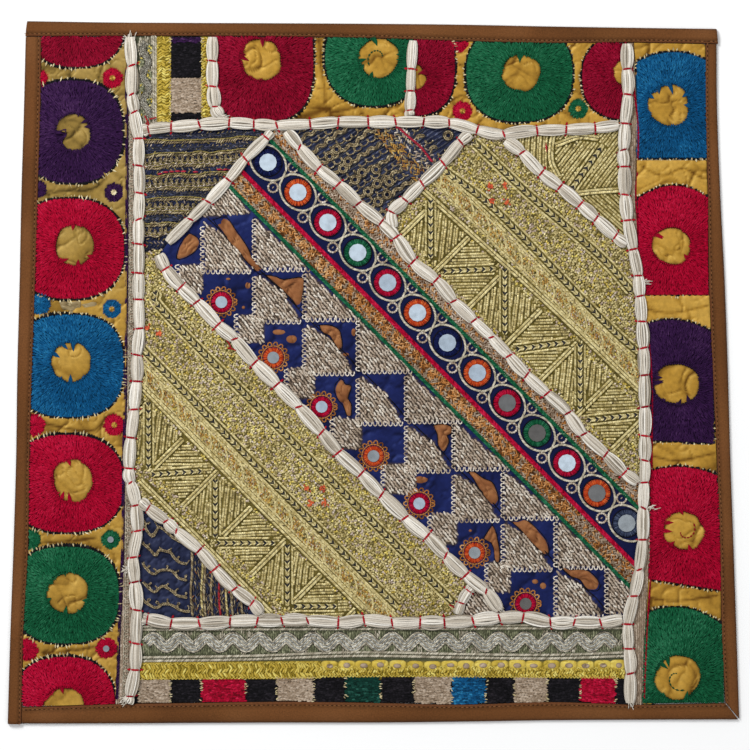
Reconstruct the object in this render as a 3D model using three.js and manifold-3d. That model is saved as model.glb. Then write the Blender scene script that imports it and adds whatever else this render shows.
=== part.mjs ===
// A square embroidered patchwork mat, lying flat: old embroidered pieces sewn edge to edge, with
// thick white cords couched over the seams, small round mirrors, and a brown cloth binding.
// Millimetres, +X right, +Y away from the viewer, +Z up. The underside is at z = 0.
import * as THREE from 'three';
import { mergeVertices } from 'three/addons/utils/BufferGeometryUtils.js';
import Module from 'manifold-3d';

const wasm = await Module();
wasm.setup();

// Driving dimensions
const SHEET_THICKNESS = 2.0;
const BINDING_HEIGHT = 3.2;
const PIECE_GAP = 0.3;
const STITCH_RELIEF = 0.6;
const RIB_RELIEF = 0.7;
const RING_RELIEF = 1.3;
const TALL = 12;

const CORD_HEIGHT = 3.3;
const CORD_SIDES = 6;
const STATIONS_PER_TIE = 2;
const PINCH_AT_TIE = 0.8;
const CORD_CLEARANCE = 0.4;
const SEAM_OVERRUN = 1.5;

const BAND_MIRROR = { radius: 5.0, ringRadius: 7.6, count: 13, first: [-60, 119.5], step: [17, -17.1] };
const FLOWER_MIRROR = { radius: 3.4, ringRadius: 6.2 };
const DOT_MIRROR = { radius: 1.8, ringRadius: 3.6 };
const MIRROR_THICKNESS = 0.9;
const ROUND_SEGMENTS = 12;
const MEDALLION_SEGMENTS = 20;
const MEDALLION_SQUARENESS = 2.4;

const COLOURS = {
  brown: 0x6a4127, mustard: 0xb58a38, beige: 0x9a8570, dark: 0x1b191e, navy: 0x252a45, gold: 0x9c8a58,
  silver: 0xa79684, white: 0xd8cfbf, mirror: 0xc3d6e4, lace: 0xb4aa9c,
};

// Binding strips: the inner and the outer edge at each station along the strip
const BINDINGS = {
  binding_top: [
    { inner: [-198, 191.3], outer: [-197, 200] },
    { inner: [-150, 191.5], outer: [-150, 199.3] },
    { inner: [-100, 191.5], outer: [-100, 199] },
    { inner: [-50, 191.2], outer: [-50, 198.8] },
    { inner: [0, 190.3], outer: [0, 198.5] },
    { inner: [50, 188.6], outer: [50, 198] },
    { inner: [100, 187.5], outer: [100, 197] },
    { inner: [150, 187.8], outer: [150, 196.2] },
    { inner: [196, 187], outer: [195.2, 195.6] },
  ],
  binding_right: [
    { inner: [189, 186.7], outer: [195.3, 186.7] },
    { inner: [189, 150], outer: [195.6, 150] },
    { inner: [190.3, 100], outer: [197.5, 100] },
    { inner: [191, 50], outer: [200, 50] },
    { inner: [193, 0], outer: [201.8, 0] },
    { inner: [195.5, -50], outer: [203.2, -50] },
    { inner: [197.3, -100], outer: [205, -100] },
    { inner: [198.3, -150], outer: [206.7, -150] },
    { inner: [200.2, -187.6], outer: [208.25, -197.2] },
  ],
  binding_bottom: [
    { inner: [200.2, -188.2], outer: [207.6, -197.5] },
    { inner: [150, -189], outer: [150, -197.7] },
    { inner: [100, -187.5], outer: [100, -198] },
    { inner: [50, -189], outer: [50, -198.8] },
    { inner: [0, -188], outer: [0, -199.3] },
    { inner: [-50, -187.3], outer: [-50, -199.3] },
    { inner: [-100, -188], outer: [-100, -199.5] },
    { inner: [-150, -188.8], outer: [-150, -199.8] },
    { inner: [-200, -190.6], outer: [-200.1, -199.9] },
  ],
  binding_left: [
    { inner: [-200.4, -200], outer: [-208.25, -200] },
    { inner: [-199.3, -150], outer: [-206.8, -150] },
    { inner: [-196.5, -100], outer: [-205, -100] },
    { inner: [-195.7, -50], outer: [-203.5, -50] },
    { inner: [-194.3, 0], outer: [-202.8, 0] },
    { inner: [-192.5, 50], outer: [-201.5, 50] },
    { inner: [-191, 100], outer: [-200.5, 100] },
    { inner: [-189.5, 150], outer: [-199, 150] },
    { inner: [-189, 190.9], outer: [-198, 190.9] },
  ],
};
const BINDING_SECTION = [[0, 0], [1, 0], [1, 0.5], [0.82, 0.95], [0.2, 1], [0, 0.72]];

// Cord routes: the middle of the cord at each red tie and at its two ends
const CORDS = {
  cord_left: { width: 6, under: [], route: [
    [-138.5, 190.6], [-137.3, 174.5], [-137.5, 158], [-136, 148], [-133.5, 133], [-133.3, 117.5],
    [-133, 102], [-133.5, 87], [-133.5, 73], [-133.5, 56.5], [-133.5, 41.5], [-133, 25], [-134.5, 10],
    [-134.5, -5], [-136, -21], [-138, -37], [-139, -54.5], [-138, -62.5], [-135, -75.5], [-134, -90],
    [-136.5, -105], [-135.5, -119], [-134.5, -135], [-135, -154], [-135.5, -169], [-138.5, -184],
    [-140, -187.6],
  ] },
  cord_right: { width: 6.4, under: [], route: [
    [144, 186.8], [144, 172.5], [144.5, 158], [142.8, 141.5], [142, 126.5], [142.5, 117], [143, 101],
    [144.5, 86.5], [147.5, 70], [150.5, 55], [151.5, 43.5], [152.5, 29], [153.5, 14], [154, -1.5],
    [154.2, -19.5], [154.2, -36], [154.2, -50], [153.8, -62.5], [153.3, -77], [153, -95], [151, -112],
    [148, -127], [144.5, -143], [145, -157], [146, -171], [146, -187.8],
  ] },
  cord_top: { width: 6, under: ['cord_left', 'cord_right'], route: [
    [-134, 137], [-128, 138], [-115, 139.5], [-99, 141], [-82, 142], [-68, 141.2], [-55, 140.5],
    [-36, 141.3], [-20, 142.5], [-3, 142.5], [12.5, 142.5], [28.5, 142.5], [43, 142], [59, 138],
    [74, 135.5], [93, 137.5], [109.5, 138], [126, 139], [143, 141],
  ] },
  cord_bottom: { width: 6.4, under: ['cord_left', 'cord_right'], route: [
    [-134, -138.6], [-128.5, -140], [-115, -142.5], [-99, -142.5], [-81.5, -141.5], [-66, -141],
    [-52, -141], [-37.5, -141], [-20, -142], [-5.5, -140.5], [10.5, -142], [26.5, -142],
    [40.3, -142], [56.5, -141], [71.5, -139.5], [85, -139], [100.5, -142], [114, -142], [129, -142],
    [145, -139],
  ] },
  cord_upper_diagonal: { width: 6, under: ['cord_top', 'cord_right'], route: [
    [-52, 140], [-42, 128], [-31, 116], [-20, 107], [-8.5, 96], [4.5, 85.5], [13, 77], [22.5, 63],
    [35.5, 52.5], [45.5, 40.5], [57, 29.5], [67, 20], [77, 9.5], [87, -1.5], [98.5, -12],
    [110.5, -23], [119.5, -35], [132, -46.5], [142.5, -57], [153, -65],
  ] },
  cord_upper_left: { width: 5.5, under: ['cord_top', 'cord_upper_diagonal'], route: [
    [-55.5, 140], [-61, 133.5], [-73, 121.5], [-82.5, 109.5], [-94, 97], [-104, 87], [-117, 74],
  ] },
  cord_curve: { width: 6, under: ['cord_upper_diagonal', 'cord_top'], route: [
    [12.5, 79], [10.5, 91], [18, 98], [27.5, 107.5], [39.5, 119], [49.5, 131], [58.5, 138.5],
  ] },
  cord_corner: { width: 6, under: ['cord_top', 'cord_right'], route: [
    [72.5, 136], [75, 132], [84.5, 125], [95.5, 113.5], [106, 105.5], [117.5, 95.5], [126.5, 87.5],
    [137.5, 77.5], [147.5, 70.5],
  ] },
  cord_lower_diagonal: { width: 6.8, under: ['cord_bottom'], route: [
    [-122, 67], [-118, 59], [-109.5, 48.5], [-100.5, 40], [-88.5, 27], [-79, 19], [-67.5, 5.5],
    [-55, -7], [-42.5, -19.5], [-29.5, -34], [-20, -45.5], [-7, -57.5], [4.5, -69.5], [18, -82.5],
    [30.5, -93], [41, -104], [52.5, -115], [64, -124.5], [74, -138.5],
  ] },
  cord_short: { width: 5, under: ['cord_lower_diagonal', 'cord_bottom'], route: [
    [58, -119.5], [54, -124], [50, -131], [46, -141],
  ] },
  cord_lower_left: { width: 6, under: ['cord_left', 'cord_bottom'], route: [
    [-135.8, -70.5], [-128, -77], [-118, -84.5], [-112, -90], [-99, -101], [-90, -111.5], [-79, -123],
    [-69, -131], [-62, -140.5],
  ] },
  cord_top_a: { width: 6, under: ['cord_top'], route: [
    [-91.5, 190.6], [-91.5, 177], [-91.3, 162.5], [-90, 151], [-85, 142.5],
  ] },
  cord_top_b: { width: 5.2, under: ['cord_top'], route: [
    [22.5, 188.6], [21.5, 172.5], [21, 160], [20.5, 149], [21, 143],
  ] },
};

// Seams that no cord follows
const PLAIN_SEAMS = [
  [[-140.3, 193], [-140, 100], [-140.5, 0], [-142, -50], [-142, -100], [-144.5, -150], [-147, -191]],
  [[148, 190], [150, 150], [149.5, 100], [152, 50], [157.5, 0], [157.5, -100], [154.5, -150], [153, -190]],
  [[-133.6, 68], [-119.5, 70.5]],
  [[-117, 74], [-119.5, 70.5], [-122, 67]],
];

// Panels: the point that picks each one out of the sheet cut along the seams
const PANELS = {
  panel_left_border: { at: [-150, 180], colour: 'mustard' },
  panel_left_selvedge: { at: [-137.3, 60], colour: 'beige' },
  panel_top_checks: { at: [-106, 165], colour: 'dark' },
  panel_top_suns_a: { at: [-30, 160], colour: 'mustard' },
  panel_top_suns_b: { at: [110, 160], colour: 'mustard' },
  panel_scroll_top_left: { at: [-110, 115], colour: 'navy' },
  panel_scroll_top_mid: { at: [15, 120], colour: 'navy' },
  panel_gold_right: { at: [80, 70], colour: 'gold' },
  panel_gold_corner: { at: [130, 110], colour: 'gold' },
  panel_mirror_checks: { at: [0, 20], colour: 'navy' },
  panel_gold_left: { at: [-80, -60], colour: 'gold' },
  panel_scroll_lower_left: { at: [-115, -120], colour: 'navy' },
  panel_silver_corner: { at: [60, -132], colour: 'silver' },
  panel_bottom_band: { at: [0, -170], colour: 'dark' },
  panel_right_selvedge: { at: [147.8, 120], colour: 'beige' },
  panel_right_border: { at: [160, -127], colour: 'mustard' },
};

// Stitched medallions: half sizes and the puffed hole
const MEDALLIONS = [
  { x: -166, y: 196, rx: 23, ry: 23 },
  { x: -167, y: 137, rx: 26, ry: 30, hole: [-170.5, 137, 10] },
  { x: -167, y: 70.5, rx: 27, ry: 29.5, hole: [-170, 72.5, 11] },
  { x: -168, y: 4, rx: 27, ry: 30, hole: [-172, 6, 11.5] },
  { x: -170, y: -63, rx: 27.5, ry: 29, hole: [-171, -61.5, 12] },
  { x: -171.5, y: -126, rx: 28, ry: 28.5, hole: [-174, -125.5, 12] },
  { x: -173, y: -189, rx: 26, ry: 27, hole: [-176, -191, 11] },
  { x: -60.5, y: 178, rx: 27, ry: 36, hole: [-64, 178, 12] },
  { x: -3, y: 179, rx: 26, ry: 28, hole: [3, 179, 11.5] },
  { x: 20, y: 174, rx: 28, ry: 28 },
  { x: 83, y: 170, rx: 31, ry: 28, hole: [84, 170.5, 11] },
  { x: 146, y: 168, rx: 28, ry: 25 },
];

// Medallions cut down to a strip: a flat foot and an arched head, given at the left, middle and right
const ARCHES = [
  { left: 150, right: 190, head: [177, 183, 178], foot: [121.5, 121.5], hole: [168, 152, 12] },
  { left: 150, right: 191, head: [99.5, 107, 100], foot: [43.5, 43.5], hole: [169.5, 72, 11] },
  { left: 152, right: 194, head: [27, 30.5, 23], foot: [-39, -41], hole: [172.5, -6.5, 12.5] },
  { left: 153, right: 198, head: [-57, -53, -59], foot: [-117.5, -124.5], hole: [176.5, -90, 11.5] },
  { left: 152, right: 200, head: [-138, -133, -144], foot: [-188.5, -188.5], hole: [173, -173.5, 13] },
];

// Small stitched discs between the medallions
const DISCS = [
  { x: -148.5, y: 167, r: 6.3 }, { x: -147.3, y: 102, r: 6.5 }, { x: -148.7, y: 36, r: 6.2 },
  { x: -148, y: -29, r: 6.5 }, { x: -149.5, y: -95, r: 6, mirror: true },
  { x: -152, y: -157, r: 6.5, mirror: true },
  { x: -190.5, y: 168, r: 6 }, { x: -191, y: 105, r: 6.5 }, { x: -191, y: 38.5, r: 7 },
  { x: -194, y: -30.5, r: 7.5 }, { x: -195, y: -95, r: 7 }, { x: -197, y: -157.5, r: 7 },
  { x: 51, y: 148.5, r: 6 }, { x: 116.5, y: 150, r: 6 },
];

// The mirror and check panel: column edges, row tops and the flower mirrors
const COLUMN_EDGES = [-97.5, -68, -39.5, -9, 18.5, 45.5, 73.5, 103.5, 132.5];
const ROW_TOPS = [87.5, 58, 29.5, 0, -28.5, -55.5, -83.5, -111.5, -138];
const TRIANGLE_MARGIN = 1.5;
const DIAGONAL_MARGIN = 4;
const BORDER_CELL = 15;
const SILVER_LIMIT = 19.5;
const FLOWERS = [
  [-86.5, 40], [-57, 8.5], [-29.5, -19.5], [0, -47.5], [26, -74.5], [57.5, -102.5], [86.5, -131.5],
];
const CORNER_PATCH = [[-96, 89], [-71, 89], [-87, 105], [-96, 97]];

// Couched lines that stand up from the cloth
const RIBS = [
  { width: 3, points: [[-58.2, 131.7], [152, -78.5]] },
  { width: 3, points: [[-75.2, 114.7], [151, -111.5]] },
  { width: 2.5, points: [[-83.8, 106.1], [148, -125.7]] },
  { width: 3, points: [[57.4, 130.8], [87.8, 101.8], [129, 66], [145, 47]] },
  { width: 3, points: [[39.4, 115.6], [71.2, 90.7], [130, 30], [150, 11]] },
  { width: 2.6, points: [[31, 103], [150, -9]] },
  { width: 3, points: [[-124, 47], [-114, 33], [-90, 5], [8, -93.5], [45, -130.5]] },
  { width: 3, points: [[-131, 15], [-120, 0], [-60, -60], [10, -130]] },
  { width: 2.6, points: [[-132, -9], [-4, -137]] },
  { width: 2.6, points: [[-133, -62], [-58, -137]] },
  { width: 3, points: [[-131, -146.5], [142, -146.5]] },
  { width: 3, points: [[-131, -161.2], [142, -160.2]] },
  { width: 2, points: [[-123.3, 190], [-123.3, 144]] },
];

// Zigzag cells of the gold panels: lines across a 45 degree strip from one distance to another
const CELL_LINES = [
  { from: 66, to: 95, places: [-44, -16, 12, 42, 70, 99] },
  { from: -130, to: -101, places: [-50, -23, 5, 32, 60] },
];
const CELL_LINE_WIDTH = 2.6;

// Wavy metal braids: the run of the middle line and the waves on it
const BRAIDS = {
  braid_bottom: { start: [-129, -153.6], end: [138, -153.2], amplitude: 3, period: 15.1, width: 2.8 },
  braid_top: { start: [-129.5, 186], end: [-128.7, 146], amplitude: 2.4, period: 13.5, width: 2.4 },
};
const BRAID_HEIGHT = 1.0;
const STATIONS_PER_WAVE = 4;

// Solids from geometry, and back
function toSolid(geometry) {
  const bare = new THREE.BufferGeometry();
  bare.setAttribute('position', geometry.getAttribute('position').clone());
  if (geometry.index) {
    bare.setIndex(geometry.index.clone());
  }
  const merged = mergeVertices(bare, 1e-4);
  return new wasm.Manifold(new wasm.Mesh({
    numProp: 3,
    vertProperties: new Float32Array(merged.getAttribute('position').array),
    triVerts: new Uint32Array(merged.index.array),
  }));
}

function toGeometry(solid) {
  const mesh = solid.getMesh();
  const geometry = new THREE.BufferGeometry();
  geometry.setAttribute('position', new THREE.BufferAttribute(new Float32Array(mesh.vertProperties), 3));
  geometry.setIndex(Array.from(mesh.triVerts));
  geometry.computeVertexNormals();
  return geometry;
}

function joinAll(solids) {
  return solids.reduce((whole, solid) => whole.add(solid));
}

function largestPart(solid) {
  const parts = solid.decompose();
  return parts.reduce((best, part) => (part.volume() > best.volume() ? part : best));
}

// A flat outline raised from one height to another
function prism(outline, bottom, top) {
  const shape = new THREE.Shape(outline.map(([x, y]) => new THREE.Vector2(x, y)));
  const geometry = new THREE.ExtrudeGeometry(shape, { depth: top - bottom, bevelEnabled: false });
  geometry.translate(0, 0, bottom);
  return toSolid(geometry);
}

// A closed skin over matching sections, with flat convex ends
function loft(sections) {
  const sides = sections[0].length;
  const positions = sections.flat().flatMap((point) => [point.x, point.y, point.z]);
  const faces = [];
  for (let row = 0; row < sections.length - 1; row += 1) {
    for (let side = 0; side < sides; side += 1) {
      const next = (side + 1) % sides;
      const [a, b] = [row * sides + side, row * sides + next];
      faces.push(a, b, b + sides, a, b + sides, a + sides);
    }
  }
  const last = (sections.length - 1) * sides;
  for (let side = 1; side < sides - 1; side += 1) {
    faces.push(0, side + 1, side, last, last + side, last + side + 1);
  }
  const geometry = new THREE.BufferGeometry();
  geometry.setAttribute('position', new THREE.BufferAttribute(new Float32Array(positions), 3));
  geometry.setIndex(faces);
  return toSolid(geometry);
}

function ellipse(x, y, rx, ry, segments, squareness = 2) {
  const outline = [];
  for (let step = 0; step < segments; step += 1) {
    const angle = (2 * Math.PI * step) / segments;
    const [c, s] = [Math.cos(angle), Math.sin(angle)];
    const reach = (Math.abs(c) ** squareness + Math.abs(s) ** squareness) ** (-1 / squareness);
    outline.push([x + rx * reach * c, y + ry * reach * s]);
  }
  return outline;
}

// Left-hand normal of a route at one of its points
function normalAt(points, index) {
  const before = points[Math.max(index - 1, 0)];
  const after = points[Math.min(index + 1, points.length - 1)];
  const length = Math.hypot(after[0] - before[0], after[1] - before[1]);
  return [(before[1] - after[1]) / length, (after[0] - before[0]) / length];
}

// A flat ribbon of even width along a route
function ribbon(points, width, bottom, top) {
  const offset = (side) => points.map(([x, y], index) => {
    const [nx, ny] = normalAt(points, index);
    return [x + side * nx * width / 2, y + side * ny * width / 2];
  });
  return prism([...offset(-1), ...offset(1).reverse()], bottom, top);
}

function extended(points, reach) {
  const beyond = (end, inner) => {
    const length = Math.hypot(end[0] - inner[0], end[1] - inner[1]);
    const share = reach / length;
    return [end[0] + (end[0] - inner[0]) * share, end[1] + (end[1] - inner[1]) * share];
  };
  return [beyond(points[0], points[1]), ...points, beyond(points.at(-1), points.at(-2))];
}

// Binding: a soft rounded strip between its inner and outer edge
function bindingSolid(stations) {
  return loft(stations.map(({ inner, outer }) => BINDING_SECTION.map(([across, up]) => new THREE.Vector3(
    THREE.MathUtils.lerp(inner[0], outer[0], across),
    THREE.MathUtils.lerp(inner[1], outer[1], across),
    up * BINDING_HEIGHT,
  ))));
}

// Cord: swells between the ties and is drawn in at each
function cordSolid({ route, width }, grow) {
  const knots = route.map(([x, y]) => new THREE.Vector3(x, y, 0));
  const curve = new THREE.CatmullRomCurve3(knots, false, 'centripetal');
  const steps = (route.length - 1) * STATIONS_PER_TIE;
  const middles = [];
  for (let step = 0; step <= steps; step += 1) {
    const { x, y } = curve.getPoint(step / steps);
    middles.push([x, y]);
  }
  const base = SHEET_THICKNESS + PIECE_GAP - grow;
  return loft(middles.map(([x, y], step) => {
    const [nx, ny] = normalAt(middles, step);
    const swell = step % STATIONS_PER_TIE === 0 ? PINCH_AT_TIE : 1;
    const halfWidth = width / 2 * swell + grow;
    const height = CORD_HEIGHT * swell + 2 * grow;
    const section = [];
    for (let side = 0; side < CORD_SIDES; side += 1) {
      const angle = 2 * Math.PI * (side + 0.5) / CORD_SIDES;
      const out = Math.sin(angle) * halfWidth;
      const up = (1 - Math.cos(angle) / Math.cos(Math.PI / CORD_SIDES)) / 2 * height;
      section.push(new THREE.Vector3(x + nx * out, y + ny * out, base + up));
    }
    return section;
  }));
}

function braidSolid({ start, end, amplitude, period, width }) {
  const length = Math.hypot(end[0] - start[0], end[1] - start[1]);
  const along = [(end[0] - start[0]) / length, (end[1] - start[1]) / length];
  const steps = Math.round(length / period * STATIONS_PER_WAVE);
  const middles = [];
  for (let step = 0; step <= steps; step += 1) {
    const run = length * step / steps;
    const wave = amplitude * Math.sin(2 * Math.PI * run / period);
    const x = start[0] + along[0] * run - along[1] * wave;
    const y = start[1] + along[1] * run + along[0] * wave;
    middles.push([x, y]);
  }
  const base = SHEET_THICKNESS + PIECE_GAP;
  return loft(middles.map(([x, y], step) => {
    const [nx, ny] = normalAt(middles, step);
    return [[-0.5, 0], [0.5, 0], [0.34, 1], [-0.34, 1]].map(([across, up]) => new THREE.Vector3(
      x + nx * across * width,
      y + ny * across * width,
      base + up * BRAID_HEIGHT,
    ));
  }));
}

// Raised stitching on the cloth
function raised(outline, relief, hole) {
  const body = prism(outline, SHEET_THICKNESS / 2, SHEET_THICKNESS + relief);
  if (!hole) {
    return body;
  }
  const [x, y, radius] = hole;
  return body.subtract(prism(ellipse(x, y, radius, radius, ROUND_SEGMENTS), 0, TALL));
}

function archOutline({ left, right, head, foot }) {
  const middle = (left + right) / 2;
  const curve = new THREE.QuadraticBezierCurve(
    new THREE.Vector2(right, head[2]),
    new THREE.Vector2(middle, 2 * head[1] - (head[0] + head[2]) / 2),
    new THREE.Vector2(left, head[0]),
  );
  return [[left, foot[0]], [right, foot[1]], ...curve.getPoints(6).map(({ x, y }) => [x, y])];
}

function silverPatches() {
  const patches = [raised(CORNER_PATCH, STITCH_RELIEF)];
  for (let row = 0; row < ROW_TOPS.length - 1; row += 1) {
    const top = ROW_TOPS[row];
    const foot = ROW_TOPS[row + 1] + TRIANGLE_MARGIN;
    const left = COLUMN_EDGES[row] + TRIANGLE_MARGIN;
    const innerRight = COLUMN_EDGES[row + 1] - DIAGONAL_MARGIN;
    const inner = [[left, top - DIAGONAL_MARGIN], [left, foot], [innerRight, foot]];
    patches.push(raised(inner, STITCH_RELIEF));
    const outerLeft = COLUMN_EDGES[row + 1] + TRIANGLE_MARGIN;
    const outerTop = Math.min(top - TRIANGLE_MARGIN, SILVER_LIMIT - outerLeft);
    const outer = [[outerLeft, outerTop], [outerLeft, foot], [SILVER_LIMIT - foot, foot]];
    patches.push(raised(outer, STITCH_RELIEF));
    if (row > 0) {
      const right = COLUMN_EDGES[row - 1] - TRIANGLE_MARGIN;
      const border = [[right, top], [right - BORDER_CELL, top], [right, top - BORDER_CELL]];
      patches.push(raised(border, STITCH_RELIEF));
    }
  }
  return patches;
}

function cellLines() {
  return CELL_LINES.flatMap(({ from, to, places }) => places.map((place) => {
    const at = (reach) => [(reach + place) / Math.SQRT2, (reach - place) / Math.SQRT2];
    return ribbon([at(from), at(to)], CELL_LINE_WIDTH, SHEET_THICKNESS / 2, SHEET_THICKNESS + RIB_RELIEF);
  }));
}

// Mirrors and the stitched rings that hold them
function mirrorPlaces() {
  const places = [];
  for (let index = 0; index < BAND_MIRROR.count; index += 1) {
    const x = BAND_MIRROR.first[0] + index * BAND_MIRROR.step[0];
    const y = BAND_MIRROR.first[1] + index * BAND_MIRROR.step[1];
    places.push({ name: `mirror_band_${String(index).padStart(2, '0')}`, x, y, size: BAND_MIRROR });
  }
  FLOWERS.forEach(([x, y], index) => {
    places.push({ name: `mirror_flower_${index}`, x, y, size: FLOWER_MIRROR });
  });
  DISCS.filter((disc) => disc.mirror).forEach(({ x, y }, index) => {
    places.push({ name: `mirror_dot_${index}`, x, y, size: DOT_MIRROR });
  });
  return places;
}

function mirrorSolid({ x, y, size }) {
  const base = SHEET_THICKNESS + PIECE_GAP;
  return prism(ellipse(x, y, size.radius, size.radius, ROUND_SEGMENTS), base, base + MIRROR_THICKNESS);
}

function mirrorRing({ x, y, size }) {
  const ring = ellipse(x, y, size.ringRadius, size.ringRadius, ROUND_SEGMENTS);
  return raised(ring, RING_RELIEF, [x, y, size.radius + PIECE_GAP]);
}

// The sheet inside the binding, its raised stitching, and the cuts that part it into panels
function fieldOutline() {
  const inset = (name, dx, dy) => (
    BINDINGS[name].slice(1, -1).map(({ inner }) => [inner[0] + dx, inner[1] + dy]));
  return [
    ...inset('binding_bottom', 0, PIECE_GAP).reverse(),
    [199.6, -187.6],
    ...inset('binding_right', -PIECE_GAP, 0).reverse(),
    [188.7, 186.7],
    ...inset('binding_top', 0, -PIECE_GAP).reverse(),
    [-188.7, 190.9],
    ...inset('binding_left', PIECE_GAP, 0).reverse(),
    [-199.8, -190],
  ];
}

function reliefSolid() {
  const mirrors = mirrorPlaces();
  const wells = mirrors.map(({ x, y, size }) => {
    const radius = size.radius + PIECE_GAP;
    return prism(ellipse(x, y, radius, radius, ROUND_SEGMENTS), SHEET_THICKNESS, TALL);
  });
  const stitched = [
    ...MEDALLIONS.map(({ x, y, rx, ry, hole }) => (
      raised(ellipse(x, y, rx, ry, MEDALLION_SEGMENTS, MEDALLION_SQUARENESS), STITCH_RELIEF, hole))),
    ...ARCHES.map((arch) => raised(archOutline(arch), STITCH_RELIEF, arch.hole)),
    ...DISCS.map(({ x, y, r }) => raised(ellipse(x, y, r, r, ROUND_SEGMENTS), STITCH_RELIEF)),
    ...silverPatches(),
    ...cellLines(),
    ...RIBS.map(({ points, width }) => (
      ribbon(points, width, SHEET_THICKNESS / 2, SHEET_THICKNESS + RIB_RELIEF))),
    ...mirrors.map(mirrorRing),
  ];
  const corridors = Object.values(CORDS).map(({ route, width }) => (
    ribbon(route, width + 2 * CORD_CLEARANCE, SHEET_THICKNESS, TALL)));
  return joinAll(stitched).subtract(joinAll([...wells, ...corridors]));
}

function panelSolids() {
  const field = fieldOutline();
  const sheet = prism(field, 0, SHEET_THICKNESS);
  const relief = reliefSolid().intersect(prism(field, 0, TALL));
  const cordSeams = Object.values(CORDS).map(({ route }) => extended(route, SEAM_OVERRUN));
  const cuts = [...cordSeams, ...PLAIN_SEAMS].map((route) => ribbon(route, PIECE_GAP, -1, TALL));
  return sheet.add(relief).subtract(joinAll(cuts)).decompose();
}

function pickPanel(parts, [x, y]) {
  const probe = prism([[x, y], [x + 0.2, y], [x + 0.2, y + 0.2]], 0, SHEET_THICKNESS);
  return parts.find((part) => part.intersect(probe).volume() > 0);
}

// The mat
const group = new THREE.Group();

function addPiece(name, solid, colour, roughness, metalness = 0) {
  const material = new THREE.MeshStandardMaterial({ color: COLOURS[colour], roughness, metalness });
  const mesh = new THREE.Mesh(toGeometry(solid), material);
  mesh.name = name;
  group.add(mesh);
}

for (const [name, stations] of Object.entries(BINDINGS)) {
  addPiece(name, bindingSolid(stations), 'brown', 0.85);
}

const parts = panelSolids();
for (const [name, { at, colour }] of Object.entries(PANELS)) {
  addPiece(name, pickPanel(parts, at), colour, 0.9);
}

for (const [name, cord] of Object.entries(CORDS)) {
  let solid = cordSolid(cord, 0);
  for (const other of cord.under) {
    solid = solid.subtract(cordSolid(CORDS[other], PIECE_GAP));
  }
  addPiece(name, largestPart(solid), 'white', 0.9);
}

for (const [name, braid] of Object.entries(BRAIDS)) {
  addPiece(name, braidSolid(braid), 'lace', 0.6);
}

for (const place of mirrorPlaces()) {
  addPiece(place.name, mirrorSolid(place), 'mirror', 0.1, 1);
}

export default group;
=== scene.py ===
# The looks of a square embroidered patchwork mat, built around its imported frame.
# Tables are in millimetres in the frame's axes: +X right, +Y to the top edge, +Z up. Meshes are in metres.
import math
import zlib

import bmesh
import bpy
import numpy as np
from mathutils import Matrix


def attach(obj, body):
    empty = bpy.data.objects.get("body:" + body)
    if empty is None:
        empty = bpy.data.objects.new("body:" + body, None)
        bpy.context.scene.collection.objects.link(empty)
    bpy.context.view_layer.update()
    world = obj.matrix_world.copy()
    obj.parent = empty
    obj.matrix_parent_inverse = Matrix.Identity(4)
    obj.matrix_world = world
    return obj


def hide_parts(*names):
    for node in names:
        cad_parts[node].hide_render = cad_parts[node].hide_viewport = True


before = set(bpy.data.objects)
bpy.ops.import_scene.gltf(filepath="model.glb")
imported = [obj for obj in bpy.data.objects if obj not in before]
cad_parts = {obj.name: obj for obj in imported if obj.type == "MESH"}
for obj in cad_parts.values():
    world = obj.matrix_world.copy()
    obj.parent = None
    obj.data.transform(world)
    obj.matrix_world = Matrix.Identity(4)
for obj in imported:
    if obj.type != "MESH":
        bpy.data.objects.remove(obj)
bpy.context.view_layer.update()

MM = 0.001
BODY = "root"

# Heights above the table
SHEET_TOP = 1.9
CORD_BASE = 2.3
CORD_HEIGHT = 3.3
BINDING_HEIGHT = 3.2
SHEET_STEP = 1.3

# Camera and light
VIEW_WIDTH = 427.5
VIEW_CENTRE = (0.855, -1.425)
LENS = 100
SENSOR = 36

# Palette: dark, middle and light tone of each thread or cloth
PALETTE = {
    "crimson": ("6a0014", "a8022b", "cc2149"),
    "wine": ("50000f", "860325", "ab1d40"),
    "purple": ("190a22", "321540", "54345f"),
    "blue": ("03304e", "0a5180", "2f86b4"),
    "green": ("05331c", "125a39", "3c8560"),
    "mustard": ("5c3a0c", "a98030", "dcb35a"),
    "oldmustard": ("3d2f12", "8a7036", "c4a866"),
    "gold": ("544722", "ae9b5e", "e2d39a"),
    "yellow": ("84701f", "c4a944", "e8d878"),
    "pinkish": ("84705e", "b29d88", "d6c7b6"),
    "olive": ("4a4018", "7f7034", "b3a25c"),
    "silver": ("5b4b3d", "ab9883", "e9dfd0"),
    "navy": ("0a0f30", "182152", "323e76"),
    "slate": ("252c3e", "46506a", "7f8aa0"),
    "tan": ("452612", "825130", "b07c50"),
    "white": ("8c7f6c", "d6ccbc", "f6f0e5"),
    "red": ("5f000e", "a30d20", "bd2434"),
    "orange": ("7a1c0c", "c0421c", "e2743c"),
    "black": ("08070a", "131115", "2a262c"),
    "cream": ("a08f6c", "d5c597", "f2e7c4"),
    "beige": ("6f5c49", "97836e", "c2b09c"),
    "sage": ("474936", "7a7c5f", "a9aa8a"),
    "lace": ("6b6352", "a09782", "dcd4c0"),
    "brown": ("3a210d", "684020", "8c5e39"),
    "braid": ("5d5d5a", "979790", "dbdad0"),
    "orangegold": ("744419", "b97c42", "dfb684"),
    "darkgreen": ("02231c", "0d3a30", "2c6355"),
    "dusk": ("0a0c1a", "20253e", "4a516e"),
    "oldgold": ("40361f", "857250", "c0b08a"),
    "taupe": ("2a221c", "4c4036", "6e6052"),
    "ochre": ("6d4a14", "a3752a", "c9a04a"),
}

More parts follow.
